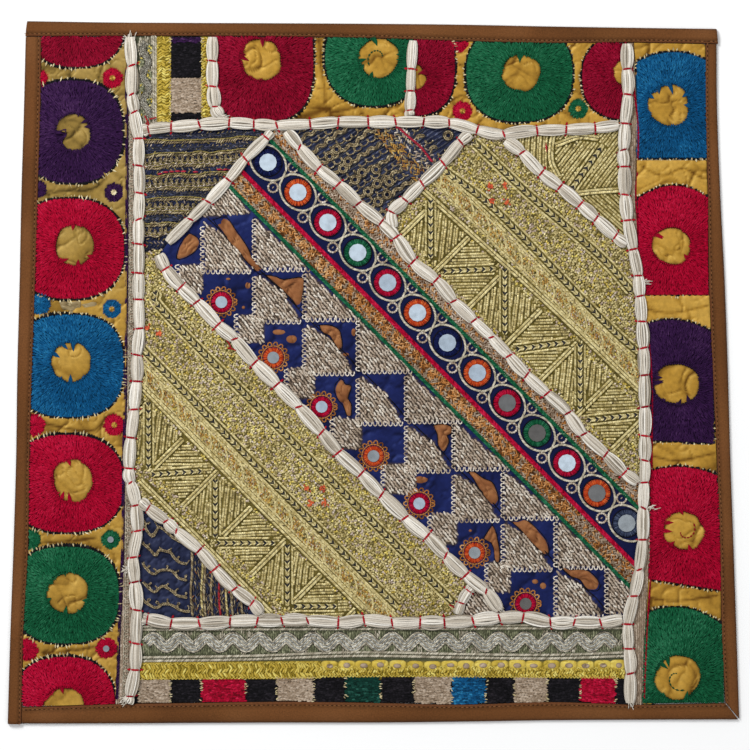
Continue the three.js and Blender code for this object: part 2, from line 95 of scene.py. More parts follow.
# Cord routes: the middle of the cord at each red tie and at its two ends
CORDS = {
    "cord_left": {"width": 6, "route": [
        (-138.5, 190.6), (-137.3, 174.5), (-137.5, 158), (-136, 148), (-133.5, 133), (-133.3, 117.5),
        (-133, 102), (-133.5, 87), (-133.5, 73), (-133.5, 56.5), (-133.5, 41.5), (-133, 25),
        (-134.5, 10), (-134.5, -5), (-136, -21), (-138, -37), (-139, -54.5), (-138, -62.5),
        (-135, -75.5), (-134, -90), (-136.5, -105), (-135.5, -119), (-134.5, -135), (-135, -154),
        (-135.5, -169), (-138.5, -184), (-140, -187.6)]},
    "cord_right": {"width": 6, "route": [
        (144, 186.8), (144, 172.5), (144.5, 158), (142.8, 141.5), (142, 126.5), (142.5, 117),
        (143, 101), (144.5, 86.5), (147.5, 70), (150.5, 55), (151.5, 43.5), (152.5, 29), (153.5, 14),
        (154, -1.5), (154.2, -19.5), (154.2, -36), (154.2, -50), (153.8, -62.5), (153.3, -77),
        (153, -95), (151, -112), (148, -127), (144.5, -143), (145, -157), (146, -171),
        (146, -187.8)]},
    "cord_top": {"width": 6, "route": [
        (-131, 137.4), (-128, 138), (-115, 139.5), (-99, 141), (-82, 142), (-68, 141.2), (-55, 140.5),
        (-36, 141.3), (-20, 142.5), (-3, 142.5), (12.5, 142.5), (28.5, 142.5), (43, 142), (59, 138),
        (74, 135.5), (93, 137.5), (109.5, 138), (126, 139), (139.3, 140.6)]},
    "cord_bottom": {"width": 6.4, "route": [
        (-131, -139.4), (-128.5, -140), (-115, -142.5), (-99, -142.5), (-81.5, -141.5), (-66, -141),
        (-52, -141), (-37.5, -141), (-20, -142), (-5.5, -140.5), (10.5, -142), (26.5, -142),
        (40.3, -142), (56.5, -141), (71.5, -139.5), (85, -139), (100.5, -142), (114, -142),
        (129, -142), (141.3, -140)]},
    "cord_upper_diagonal": {"width": 6, "route": [
        (-49.5, 137.2), (-42, 128), (-31, 116), (-20, 107), (-8.5, 96), (4.5, 85.5), (13, 77),
        (22.5, 63), (35.5, 52.5), (45.5, 40.5), (57, 29.5), (67, 20), (77, 9.5), (87, -1.5),
        (98.5, -12), (110.5, -23), (119.5, -35), (132, -46.5), (142.5, -57), (150, -62.6)]},
    "cord_upper_left": {"width": 5.5, "route": [
        (-58, 137), (-61, 133.5), (-73, 121.5), (-82.5, 109.5), (-94, 97), (-104, 87), (-117, 74)]},
    "cord_curve": {"width": 6, "route": [
        (11.4, 82.5), (10.5, 91), (18, 98), (27.5, 107.5), (39.5, 119), (49.5, 131), (55, 135.6)]},
    "cord_corner": {"width": 6, "route": [
        (75, 132), (84.5, 125), (95.5, 113.5), (106, 105.5), (117.5, 95.5), (126.5, 87.5),
        (137.5, 77.5), (144, 73)]},
    "cord_lower_diagonal": {"width": 6.8, "route": [
        (-122, 67), (-118, 59), (-109.5, 48.5), (-100.5, 40), (-88.5, 27), (-79, 19), (-67.5, 5.5),
        (-55, -7), (-42.5, -19.5), (-29.5, -34), (-20, -45.5), (-7, -57.5), (4.5, -69.5), (18, -82.5),
        (30.5, -93), (41, -104), (52.5, -115), (64, -124.5), (71.5, -135)]},
    "cord_short": {"width": 5, "route": [(55.5, -122.4), (54, -124), (50, -131), (47.7, -137.4)]},
    "cord_lower_left": {"width": 6, "route": [
        (-132.6, -73), (-128, -77), (-118, -84.5), (-112, -90), (-99, -101), (-90, -111.5),
        (-79, -123), (-69, -131), (-64, -137)]},
    "cord_top_a": {"width": 6, "route": [
        (-91.5, 190.6), (-91.5, 177), (-91.3, 162.5), (-90, 151), (-87, 145.8)]},
    "cord_top_b": {"width": 5.2, "route": [
        (22.5, 188.6), (21.5, 172.5), (21, 160), (20.5, 149), (21, 146)]},
}


# Small helpers

def dice(name):
    return np.random.default_rng(zlib.crc32(name.encode()))


def linear(code):
    value = np.array([int(code[i:i + 2], 16) for i in (0, 2, 4)]) / 255
    return np.where(value <= 0.04045, value / 12.92, ((value + 0.055) / 1.055) ** 2.4)


TONES = {name: np.array([linear(code) for code in codes]) for name, codes in PALETTE.items()}


def tone(name, mix):
    """Colours between a palette entry's dark (0), middle (0.5) and light (1) tone."""
    dark, middle, light = TONES[name]
    mix = np.clip(np.atleast_1d(mix), 0, 1)[:, None]
    low = dark + (middle - dark) * np.minimum(mix * 2, 1)
    return low + (light - middle) * np.maximum(mix * 2 - 1, 0)


def shades(name, count, draw, middle=0.5, spread=0.22):
    return tone(name, draw.normal(middle, spread, count))


def blend_noise(points, size, seed):
    """Smooth noise from -1 to 1 over the plane, with bumps about size apart."""
    lattice = np.random.default_rng(seed).uniform(-1, 1, (64, 64))
    cell = points / size + 1000.5
    low = np.floor(cell).astype(int)
    part = cell - low
    part = part * part * (3 - 2 * part)
    x0, y0 = low[:, 0] % 64, low[:, 1] % 64
    x1, y1 = (x0 + 1) % 64, (y0 + 1) % 64
    bottom = lattice[x0, y0] * (1 - part[:, 0]) + lattice[x1, y0] * part[:, 0]
    top = lattice[x0, y1] * (1 - part[:, 0]) + lattice[x1, y1] * part[:, 0]
    return bottom * (1 - part[:, 1]) + top * part[:, 1]


def unit(angle):
    angle = np.atleast_1d(angle)
    return np.stack([np.cos(angle), np.sin(angle)], axis=1)


def smooth(points, per=6, closed=False):
    """A Catmull-Rom curve through the points."""
    p = np.asarray(points, float)
    if closed:
        p = np.vstack([p[-1], p, p[:2]])
    else:
        p = np.vstack([2 * p[0] - p[1], p, 2 * p[-1] - p[-2]])
    t = (np.arange(per) / per)[:, None, None]
    a, b, c, d = p[:-3], p[1:-2], p[2:-1], p[3:]
    curve = 0.5 * (2 * b + (c - a) * t + (2 * a - 5 * b + 4 * c - d) * t ** 2
                   + (3 * b - a - 3 * c + d) * t ** 3)
    curve = curve.transpose(1, 0, 2).reshape(-1, p.shape[1])
    return curve if closed else np.vstack([curve, p[-2]])


def walk(path, pitch, start=0.0):
    """Points every pitch along a path, and the path's direction at each as an angle."""
    p = np.asarray(path, float)
    step = np.diff(p, axis=0)
    run = np.concatenate([[0], np.cumsum(np.hypot(step[:, 0], step[:, 1]))])
    at = np.arange(start, run[-1], pitch)
    points = np.stack([np.interp(at, run, p[:, 0]), np.interp(at, run, p[:, 1])], axis=1)
    piece = np.clip(np.searchsorted(run, at, side="right") - 1, 0, len(step) - 1)
    return points, np.arctan2(step[piece, 1], step[piece, 0])


def inside(outline, points):
    """Which points lie inside a closed outline."""
    a = np.asarray(outline, float)
    b = np.roll(a, -1, axis=0)
    result = np.zeros(len(points), int)
    for (ax, ay), (bx, by) in zip(a, b):
        crosses = (ay > points[:, 1]) != (by > points[:, 1])
        rise = by - ay if by != ay else 1e-9
        result += crosses & (points[:, 0] < (bx - ax) * (points[:, 1] - ay) / rise + ax)
    return result % 2 == 1


def rows_in(outline, angle, row_pitch, pitch, draw, wobble):
    """Places along parallel rows inside an outline, and the number of the row of each."""
    a = np.asarray(outline, float)
    centre = (a.min(0) + a.max(0)) / 2
    reach = np.hypot(*(a.max(0) - a.min(0))) / 2 + row_pitch
    rows = np.arange(-reach, reach, row_pitch)
    runs = np.arange(-reach, reach, pitch)
    v, u = np.meshgrid(rows, runs, indexing="ij")
    number = np.repeat(np.arange(len(rows)), len(runs))
    u = u + draw.uniform(-0.5, 0.5, (len(rows), 1)) * pitch
    u, v = u.ravel(), v.ravel()
    along, up = unit(angle)[0], unit(angle + math.pi / 2)[0]
    points = centre + np.outer(u, along) + np.outer(v, up)
    points = points + draw.normal(0, wobble, points.shape)
    keep = inside(outline, points)
    return points[keep], number[keep]


def box_outline(x0, y0, x1, y1):
    return [(x0, y0), (x1, y0), (x1, y1), (x0, y1)]


def wander(path, reach, size, seed):
    """The path, moved a little to and fro by smooth noise."""
    away = [blend_noise(path, size, seed), blend_noise(path, size, seed + 1)]
    return path + reach * np.stack(away, axis=1)


# Meshes

# A step towards the lamp at the upper left, used to paint light and shade onto cloth folds
LIGHT_STEP = np.array([-0.6, 0.6])


def turning(angle):
    return np.array([unit(angle)[0], unit(angle + math.pi / 2)[0]])


def folds(points, scale=1.0, seed=41):
    """Soft puffs with narrow valleys between them, from 0 to 1."""
    bent = points + blend_noise(points, 7 * scale, seed)[:, None] * np.array([2.2, -1.8]) * scale
    broad = 1 - np.abs(blend_noise(bent @ turning(0.6), 9 * scale, seed + 1))
    narrow = 1 - np.abs(blend_noise(bent @ turning(-0.45), 4.5 * scale, seed + 2))
    slow = blend_noise(points, 13 * scale, seed + 3)
    return np.clip(0.95 - 0.55 * broad ** 4 - 0.3 * narrow ** 6 + 0.3 * slow, 0, 1)


def folds_and_painted_light(points, scale=1.0, seed=41):
    """How high crumpled cloth lies, and the painted light and shade of its folds as if lit from the upper
    left, both from 0 to 1.
    """
    high = folds(points, scale, seed)
    # painted light: slopes that face the upper left are lighter, the others darker
    lit = high - folds(points + LIGHT_STEP * scale, scale, seed)
    return high, np.clip(0.22 + 0.36 * high + 1.05 * lit, 0, 1)


def new_object(name, verts, faces, colours, mat):
    """A mesh object in metres from millimetre points, faces of one size, and a colour for each point."""
    verts, faces = np.asarray(verts, float), np.asarray(faces, int)
    mesh = bpy.data.meshes.new(name)
    mesh.vertices.add(len(verts))
    mesh.vertices.foreach_set("co", (verts * MM).astype(np.float32).ravel())
    corners = faces.shape[1]
    mesh.loops.add(faces.size)
    mesh.loops.foreach_set("vertex_index", faces.astype(np.int32).ravel())
    mesh.polygons.add(len(faces))
    mesh.polygons.foreach_set("loop_start", np.arange(0, faces.size, corners, dtype=np.int32))
    mesh.polygons.foreach_set("use_smooth", np.full(len(faces), True))
    paint(mesh, colours)
    mesh.materials.append(mat)
    mesh.update(calc_edges=True)
    mesh.validate()
    piece = bpy.data.objects.new(name, mesh)
    bpy.context.scene.collection.objects.link(piece)
    return piece


def paint(mesh, colours):
    attribute = mesh.color_attributes.new("Tint", "FLOAT_COLOR", "POINT")
    rgba = np.ones((len(mesh.vertices), 4), np.float32)
    rgba[:, :3] = colours
    attribute.data.foreach_set("color", rgba.ravel())


def grid_faces(blocks, rows, columns, wrap=False):
    """Quads of several equal grids of points, one after another."""
    across = columns if wrap else columns - 1
    row, column = np.repeat(np.arange(rows - 1), across), np.tile(np.arange(across), rows - 1)
    after = (column + 1) % columns
    quad = np.stack([row * columns + column, row * columns + after,
                     (row + 1) * columns + after, (row + 1) * columns + column], axis=1)
    return (np.arange(blocks)[:, None, None] * rows * columns + quad).reshape(-1, 4)


class Stitching:
    """Gathers short raised stitches and makes them into one mesh."""

    # each point of a stitch: share of its length, of its width, of its height, and its painted light
    # (painted shade at the sides, a painted highlight along the top)
    STRAND = np.array([
        (0.0, -0.25, 0.1, 0.6), (0.0, 0.0, 0.45, 0.9), (0.0, 0.25, 0.1, 0.6),
        (0.5, -0.5, 0.0, 0.62), (0.5, 0.0, 1.0, 1.08), (0.5, 0.5, 0.0, 0.62),
        (1.0, -0.25, 0.1, 0.6), (1.0, 0.0, 0.45, 0.9), (1.0, 0.25, 0.1, 0.6)])
    STRAND_FACES = np.array([(0, 1, 4, 3), (1, 2, 5, 4), (3, 4, 7, 6), (4, 5, 8, 7)])[:, ::-1]
    SEED = np.array([(0.0, 0.0, 0.35, 0.8), (1.0, 0.0, 0.35, 0.8), (0.5, 0.5, 0.0, 0.82),
                     (0.5, -0.5, 0.0, 0.82), (0.5, 0.0, 1.0, 1.06)])
    SEED_FACES = np.array([(2, 0, 4, 1), (3, 1, 4, 0)])

    def __init__(self, limits=None, seeds=False):
        self.limits = limits
        self.fatter = 1.3 if seeds else 1.0
        self.shape = self.SEED if seeds else self.STRAND
        self.quads = self.SEED_FACES if seeds else self.STRAND_FACES
        self.points, self.colours = [], []

    def add(self, start, end, width, height, colour, z0=SHEET_TOP, z1=None):
        """Stitches from start to end; z0 and z1 are the heights of their two ends."""
        start, end = np.atleast_2d(start).astype(float), np.atleast_2d(end).astype(float)
        count = len(start)
        colour = np.broadcast_to(np.atleast_2d(colour), (count, 3))
        sizes = [width, height, z0, z0 if z1 is None else z1]
        sizes = np.stack([np.broadcast_to(np.asarray(v, float).reshape(-1), (count,)) for v in sizes])
        if self.limits is not None:
            seen = inside(self.limits, (start + end) / 2)
            start, end, colour, sizes = start[seen], end[seen], colour[seen], sizes[:, seen]
        if len(start) == 0:
            return
        width, height, z0, z1 = sizes
        span = end - start
        length = np.maximum(np.hypot(span[:, 0], span[:, 1]), 1e-6)
        normal = np.stack([-span[:, 1], span[:, 0]], axis=1) / length[:, None]
        t, across, up, light = self.shape.T
        side = across * self.fatter * width[:, None]
        flat = start[:, None, :] + span[:, None, :] * t[None, :, None] + side[..., None] * normal[:, None, :]
        z = z0[:, None] + (z1 - z0)[:, None] * t + up * height[:, None]
        self.points.append(np.concatenate([flat, z[..., None]], axis=-1))
        # painted shade at each stitch's sides and a painted highlight on its ridge, from each point's light
        # share
        self.colours.append(colour[:, None, :] * light[None, :, None])

    def lay(self, points, angle, length, width, height, colour, z0=SHEET_TOP):
        """Stitches centred on points, each turned by its angle."""
        if len(points) == 0:
            return
        half = unit(np.broadcast_to(angle, (len(points),))) * (np.asarray(length) / 2).reshape(-1, 1)
        self.add(points - half, points + half, width, height, colour, z0)

    def along(self, path, width, height, colour, z0):
        """A line of thread, with one stitch for each step of its path."""
        self.add(path[:-1], path[1:], width, height, colour, z0)

    def twist(self, path, width, colour_name, draw, z0=SHEET_TOP, height=0.6, slant=0.5, pitch=None,
              middle=0.55, spread=0.2):
        """A twisted cord along a path, as short slanting stitches side by side."""
        points, angle = walk(path, pitch or width * 0.75)
        self.lay(points, angle + slant, width * 1.55, width * 0.82, height,
                 shades(colour_name, len(points), draw, middle, spread), z0)

    def build(self, name, mat, slot):
        points = np.concatenate(self.points)
        first = np.arange(len(points))[:, None, None] * len(self.shape)
        piece = new_object(name, points.reshape(-1, 3), (first + self.quads).reshape(-1, 4),
                           np.concatenate(self.colours).reshape(-1, 3), mat)
        return finish_piece(piece)


def finish_piece(piece):
    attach(piece, BODY)
    return piece


# Materials

BUMP_DEPTH = 0.00012
THREADS_TO_WAVE_SCALE = 3.2
MIRROR_CLOUDS = 260


def add_node(mat, kind, **inputs):
    """A new shader node with its inputs set, where _ stands for a space in an input's name."""
    node = mat.node_tree.nodes.new("ShaderNode" + kind)
    for name, value in inputs.items():
        node.inputs[name.replace("_", " ")].default_value = value
    return node


def new_material(name, **values):
    """A material and its main shader, with the shader's own sockets set as in add_node."""
    mat = bpy.data.materials.new(name)
    mat.use_nodes = True
    bsdf = mat.node_tree.nodes["Principled BSDF"]
    for socket, value in values.items():
        bsdf.inputs[socket.replace("_", " ")].default_value = value
    return mat, bsdf


def add_noise(mat, scale, detail):
    """Noise over the object, and the place that it is read at."""
    place = add_node(mat, "TexCoord").outputs["Object"]
    noise = add_node(mat, "TexNoise", Scale=scale, Detail=detail)
    mat.node_tree.links.new(place, noise.inputs["Vector"])
    return noise.outputs["Fac"], place


def make_material(name, roughness, metallic=0.0, sheen=0.0, grain=900.0, bump=0.35, variation=0.25,
                  weave=None, specular=0.5):
    """Cloth or thread: the point colours, a little uneven, with a fine raised grain or weave."""
    mat, bsdf = new_material(name, Roughness=roughness, Metallic=metallic, Sheen_Weight=sheen,
                             Sheen_Roughness=0.4, Specular_IOR_Level=specular)
    link = mat.node_tree.links.new
    tint = add_node(mat, "Attribute")
    tint.attribute_name = "Tint"
    height, place = add_noise(mat, grain, 3)
    vary = add_node(mat, "MapRange", From_Min=0.3, From_Max=0.7, To_Min=1 - variation, To_Max=1 + variation)
    link(height, vary.inputs["Value"])
    scale = add_node(mat, "VectorMath")
    scale.operation = "SCALE"
    link(tint.outputs["Color"], scale.inputs[0])
    link(vary.outputs["Result"], scale.inputs["Scale"])
    link(scale.outputs["Vector"], bsdf.inputs["Base Color"])
    if weave:
        height = weave_height(mat, place, weave, height)
    raised = add_node(mat, "Bump", Strength=bump, Distance=BUMP_DEPTH)
    link(height, raised.inputs["Height"])
    link(raised.outputs["Normal"], bsdf.inputs["Normal"])
    return mat


def weave_height(mat, place, threads_per_metre, grain):
    """Crossed warp and weft ridges with a little grain on them."""
    link = mat.node_tree.links.new
    crossed = add_node(mat, "Math")
    crossed.operation = "MAXIMUM"
    for number, direction in enumerate("XY"):
        wave = add_node(mat, "TexWave", Distortion=1.2, Detail=1,
                        Scale=threads_per_metre / THREADS_TO_WAVE_SCALE)
        wave.wave_type = "BANDS"
        wave.bands_direction = direction
        link(place, wave.inputs["Vector"])
        link(wave.outputs["Fac"], crossed.inputs[number])
    grained = add_node(mat, "Math")
    grained.operation = "MULTIPLY_ADD"
    grained.inputs[1].default_value = 0.6
    link(grain, grained.inputs[0])
    link(crossed.outputs["Value"], grained.inputs[2])
    return grained.outputs["Value"]


def mirror_material(name, colour, roughness):
    """Old mirror glass: a clouded tint, partly the glass's own tarnish and partly a painted reflection,
    rougher where it is darker.
    """
    mat, bsdf = new_material(name, Metallic=0.35, Coat_Weight=0.4, Coat_Roughness=0.25)
    link = mat.node_tree.links.new
    clouds = add_noise(mat, MIRROR_CLOUDS, 4)[0]
    ramp = add_node(mat, "ValToRGB")
    for element, position, share in zip(ramp.color_ramp.elements, (0.3, 0.62), (0.72, 1)):
        element.position = position
        element.color = (*(linear(colour) * share), 1)
    link(clouds, ramp.inputs["Fac"])
    link(ramp.outputs["Color"], bsdf.inputs["Base Color"])
    rough = add_node(mat, "MapRange", To_Min=roughness * 1.8, To_Max=roughness)
    link(clouds, rough.inputs["Value"])
    link(rough.outputs["Result"], bsdf.inputs["Roughness"])
    return mat


SILK = make_material("silk_thread", 0.65, grain=1500, bump=0.4, specular=0.06)
COTTON = make_material("cotton_thread", 0.8, sheen=0.05, grain=1800, bump=0.4, specular=0.1)
METAL_THREAD = make_material("metal_thread", 0.46, metallic=0.35, grain=1700, bump=0.6, variation=0.35)
CLOTH = make_material("crumpled_cloth", 0.85, sheen=0.06, grain=420, bump=0.3, weave=1500,
                      variation=0.14, specular=0.1)
STITCHED_GROUND = make_material("stitched_ground", 0.8, sheen=0.05, grain=700, bump=0.5, weave=1100,
                                variation=0.3, specular=0.1)
BINDING_CLOTH = make_material("binding_cloth", 0.85, sheen=0.08, grain=1300, bump=0.5, weave=1700,
                              variation=0.2, specular=0.1)
CORD_COTTON = make_material("cord_cotton", 0.85, sheen=0.1, grain=1100, bump=0.4, variation=0.1,
                            specular=0.15)


# Camera, light and stage

def make_camera():
    data = bpy.data.cameras.new("camera")
    data.lens = LENS
    data.sensor_width = SENSOR
    data.clip_start = 0.01
    data.clip_end = 20
    camera = bpy.data.objects.new("camera", data)
    distance = VIEW_WIDTH * MM / SENSOR * LENS
    camera.location = (VIEW_CENTRE[0] * MM, VIEW_CENTRE[1] * MM, distance)
    bpy.context.scene.collection.objects.link(camera)
    bpy.context.scene.camera = camera


def make_light(name, location, size, power):
    data = bpy.data.lights.new(name, "AREA")
    data.shape = "DISK"
    data.size = size
    data.energy = power
    lamp = bpy.data.objects.new(name, data)
    lamp.location = location
    aim = -lamp.location.normalized()
    lamp.rotation_mode = "QUATERNION"
    lamp.rotation_quaternion = aim.to_track_quat("-Z", "Y")
    bpy.context.scene.collection.objects.link(lamp)


def make_stage():
    world = bpy.data.worlds.new("studio")
    world.use_nodes = True
    background = world.node_tree.nodes["Background"].inputs
    background["Color"].default_value = (0.98, 0.99, 1.0, 1)
    background["Strength"].default_value = 0.52
    bpy.context.scene.world = world
    bpy.context.scene.view_settings.view_transform = "Standard"
    make_light("key", (-0.75, 0.95, 1.25), 0.6, 22)
    make_light("fill", (0.9, -0.5, 1.5), 1.4, 5)
    bpy.ops.mesh.primitive_plane_add(size=6, location=(0, 0, 0))
    floor = bpy.context.object
    floor.name = "floor"
    white = new_material("floor_white", Base_Color=(0.95, 0.95, 0.95, 1), Roughness=0.9,
                         Specular_IOR_Level=0.1)[0]
    floor.data.materials.append(white)


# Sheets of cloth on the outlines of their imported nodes

def outline_of(node):
    """The outline of a node's flat underside, in millimetres, anticlockwise from above."""
    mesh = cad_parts[node].data
    points = np.array([v.co for v in mesh.vertices]) / MM
    keys = {}
    ids = [keys.setdefault((round(x, 3), round(y, 3), round(z, 3)), len(keys)) for x, y, z in points]
    places = np.array(list(keys))
    follows = {}
    edges = set()
    for polygon in mesh.polygons:
        corners = [ids[v] for v in polygon.vertices]
        if all(places[c][2] < 1e-3 for c in corners):
            for a, b in zip(corners, corners[1:] + corners[:1]):
                edges.add((a, b))
    for a, b in edges:
        if (b, a) not in edges:
            follows[b] = a
    first = next(iter(follows))
    loop = [first]
    while follows[loop[-1]] != first:
        loop.append(follows[loop[-1]])
    return places[loop][:, :2]


def nearest_on(outline, points):
    """For each point, the nearest place on a closed outline."""
    a = np.asarray(outline, float)
    b = np.roll(a, -1, axis=0)
    best = np.full(len(points), np.inf)
    found = points.copy()
    for start, end in zip(a, b):
        span = end - start
        share = np.clip(((points - start) @ span) / max(span @ span, 1e-9), 0, 1)
        place = start + share[:, None] * span
        gap = np.hypot(*(points - place).T)
        nearer = gap < best
        best[nearer] = gap[nearer]
        found[nearer] = place[nearer]
    return found


def kept_cells(outline, xs, ys):
    centre_x, centre_y = np.meshgrid((xs[:-1] + xs[1:]) / 2, (ys[:-1] + ys[1:]) / 2, indexing="ij")
    keep = inside(outline, np.stack([centre_x.ravel(), centre_y.ravel()], axis=1)).reshape(centre_x.shape)
    while True:
        a, b, c, d = keep[:-1, :-1], keep[1:, :-1], keep[:-1, 1:], keep[1:, 1:]
        pinched = (a & d & ~b & ~c) | (b & c & ~a & ~d)
        if not pinched.any():
            return keep
        rows, columns = np.nonzero(pinched)
        keep[rows, columns] = True
        keep[rows + 1, columns] = True


def make_sheet(node, mat, colour_at, height_at, step=SHEET_STEP):
    """A closed thin sheet on a node's outline: a shaped face, an edge and a flat underside."""
    outline = outline_of(node)
    low, high = outline.min(0), outline.max(0)
    counts = np.ceil((high - low) / step).astype(int)
    xs, ys = np.linspace(low[0], high[0], counts[0] + 1), np.linspace(low[1], high[1], counts[1] + 1)
    keep = kept_cells(outline, xs, ys)
    cells = np.stack(np.nonzero(keep), axis=1)
    width = counts[1] + 1
    corner = cells[:, 0] * width + cells[:, 1]
    quads = np.stack([corner, corner + width, corner + width + 1, corner + 1], axis=1)
    used, index = np.unique(quads, return_inverse=True)
    quads = index.reshape(-1, 4)
    flat = np.stack([xs[used // width], ys[used % width]], axis=1)
    edge = np.bincount(quads.ravel(), minlength=len(flat)) < 4
    flat[edge] = nearest_on(outline, flat[edge])
    z = height_at(flat)
    points = np.concatenate([flat, z[:, None]], axis=1)
    piece = new_object("cloth_" + node, points, quads, colour_at(flat), mat)
    bm = bmesh.new()
    bm.from_mesh(piece.data)
    bmesh.ops.remove_doubles(bm, verts=bm.verts, dist=0.02 * MM)
    rim = [e for e in bm.edges if e.is_boundary]
    lower = bmesh.ops.extrude_edge_only(bm, edges=rim)["geom"]
    for vert in [g for g in lower if isinstance(g, bmesh.types.BMVert)]:
        vert.co.z = 0.05 * MM
    bmesh.ops.holes_fill(bm, edges=[e for e in bm.edges if e.is_boundary], sides=0)
    bmesh.ops.recalc_face_normals(bm, faces=bm.faces)
    bm.to_mesh(piece.data)
    bm.free()
    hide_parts(node)
    return finish_piece(piece)


def flat_height(points):
    return SHEET_TOP - 0.1 + 0.08 * blend_noise(points, 5, 3)


make_camera()
make_stage()


# Cords

CORD_STEPS = 7
CORD_STRANDS = 16
CORE_SIDES = 10
PINCH_AT_TIE = 0.68
STRAND_WIDTH = 0.86
TIE_WIDTH = 1.5


def cord_frame(route, per=CORD_STEPS):
    """The middle line of a cord, its sideways direction and its swelling between the ties."""
    middle = smooth(route, per)
    share = np.arange(len(middle)) % per / per
    swell = PINCH_AT_TIE + (1 - PINCH_AT_TIE) * np.sin(math.pi * share) ** 0.5
    step = np.gradient(middle, axis=0)
    step /= np.hypot(step[:, 0], step[:, 1])[:, None]
    return middle, np.stack([-step[:, 1], step[:, 0]], axis=1), swell


def ribbons(paths, width, rise):
    """Arched threads along many paths of equal length: points and faces."""
    step = np.gradient(paths[..., :2], axis=1)
    step /= np.maximum(np.hypot(step[..., 0], step[..., 1]), 1e-6)[..., None]
    normal = np.stack([-step[..., 1], step[..., 0], np.zeros(step.shape[:2])], axis=-1)
    half = normal * (np.broadcast_to(width, paths.shape[:2]) / 2)[..., None]
    top = paths + np.array([0, 0, 1]) * rise
    points = np.stack([paths - half, top, paths + half], axis=2)
    return points.reshape(-1, 3), grid_faces(len(paths), paths.shape[1], 3)


def cord_core(middle, normal, swell, width):
    """The closed body under the strands."""
    turn = np.linspace(0, 2 * math.pi, CORE_SIDES, endpoint=False)
    out = np.cos(turn)[None, :] * (swell * width * 0.45)[:, None]
    up = (np.sin(turn)[None, :] * 0.5 + 0.5) * (swell * CORD_HEIGHT * 0.88)[:, None]
    flat = middle[:, None, :] + out[..., None] * normal[:, None, :]
    points = np.concatenate([flat, (CORD_BASE - 0.35 + up)[..., None]], axis=-1).reshape(-1, 3)
    return points, grid_faces(1, len(middle), CORE_SIDES, wrap=True)


def cord_strands(middle, normal, swell, width, draw):
    """Loose strands over the core, from each tie to the next."""
    paths = []
    for first in range(0, len(middle) - 1, CORD_STEPS):
        part = slice(first, first + CORD_STEPS + 1)
        turn = np.radians(np.linspace(-84, 84, CORD_STRANDS) + draw.normal(0, 3, CORD_STRANDS))
        fullness = draw.uniform(0.93, 1.06, (CORD_STRANDS, 1)) * draw.uniform(0.95, 1.04)
        share = np.linspace(0, 1, CORD_STEPS + 1)
        sway = draw.normal(0, 0.1, (CORD_STRANDS, 1)) * np.sin(share * math.pi) * width / 2
        reach = 1 + (fullness - 1) * np.sin(share * math.pi)
        out = np.sin(turn)[:, None] * swell[part] * reach * width / 2 + sway
        up = (np.cos(turn)[:, None] * 0.52 + 0.45) * swell[part] * reach * CORD_HEIGHT
        flat = middle[None, part, :] + out[..., None] * normal[None, part, :]
        z = CORD_BASE - 0.45 + np.clip(up, 0, CORD_HEIGHT)
        paths.append(np.concatenate([flat, z[..., None]], axis=-1))
    return np.concatenate(paths)


def make_cord(name, route, width):
    """A bundle of loose cotton strands, drawn in at each tie."""
    draw = dice(name)
    middle, normal, swell = cord_frame(route)
    core, core_faces = cord_core(middle, normal, swell, width)
    paths = cord_strands(middle, normal, swell, width, draw)
    threads, thread_faces = ribbons(paths, STRAND_WIDTH, 0.16)
    mix = np.clip(draw.normal(0.56, 0.26, len(paths)), 0.1, 1)
    per_strand = threads.shape[0] // len(paths)
    shade = np.repeat(tone("white", mix), per_strand, axis=0)
    # painted shade along both edges of every strand
    shade[0::3] *= 0.66
    shade[2::3] *= 0.66
    points = np.concatenate([core, threads])
    faces = np.concatenate([core_faces, thread_faces + len(core)])
    # the core of the white cord is painted dark, as the shade in the gaps between the strands
    colours = np.concatenate([tone("white", np.full(len(core), 0.1)) * 0.6, shade])
    piece = new_object("strands_" + name, points, faces, colours, CORD_COTTON)
    add_caps(piece, CORE_SIDES, len(middle))
    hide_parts(name)
    return finish_piece(piece)


def add_caps(piece, sides, rings):
    """Closes a tube of rings of points at both ends."""
    around = np.arange(sides)
    bm = bmesh.new()
    bm.from_mesh(piece.data)
    bm.verts.ensure_lookup_table()
    for end in (around[::-1], (rings - 1) * sides + around):
        bm.faces.new([bm.verts[int(i)] for i in end])
    bm.to_mesh(piece.data)
    bm.free()


FRAYS = [
    # where loose cord ends spread, their direction in degrees, and how many
    ((-138.5, 189), 100, 9), ((-138, 189), 160, 6), ((-139, -112), 195, 9), ((-139.5, -186), 215, 10),
    ((154, 51), 10, 7), ((157, -78), 20, 7), ((-87, 146), -20, 8), ((21, 145.5), -60, 5),
    ((-64.5, -136), -30, 6), ((71, -134), -45, 6), ((139, 140.5), 10, 6), ((-131, 137), 190, 6),
    ((146, -186.5), -70, 7), ((144, 73.5), -20, 6), ((150, -62), -20, 6), ((12, 83), -120, 6),
]


def frays(stitching):
    """Loose ends of the cords, in two bent lengths each."""
    draw = dice("frays")
    for place, direction, count in FRAYS:
        angle = math.radians(direction) + draw.normal(0, 0.35, count)
        start = np.array(place) + draw.normal(0, 0.9, (count, 2))
        middle = start + unit(angle) * draw.uniform(1.5, 3, (count, 1))
        end = middle + unit(angle + draw.normal(0, 0.5, count)) * draw.uniform(1, 2.6, (count, 1))
        colour = shades("white", count, draw, 0.6, 0.15)
        stitching.add(start, middle, 0.55, 0.5, colour, SHEET_TOP + 2.2, SHEET_TOP + 1.6)
        stitching.add(middle, end, 0.5, 0.45, colour, SHEET_TOP + 1.6, SHEET_TOP + 1)


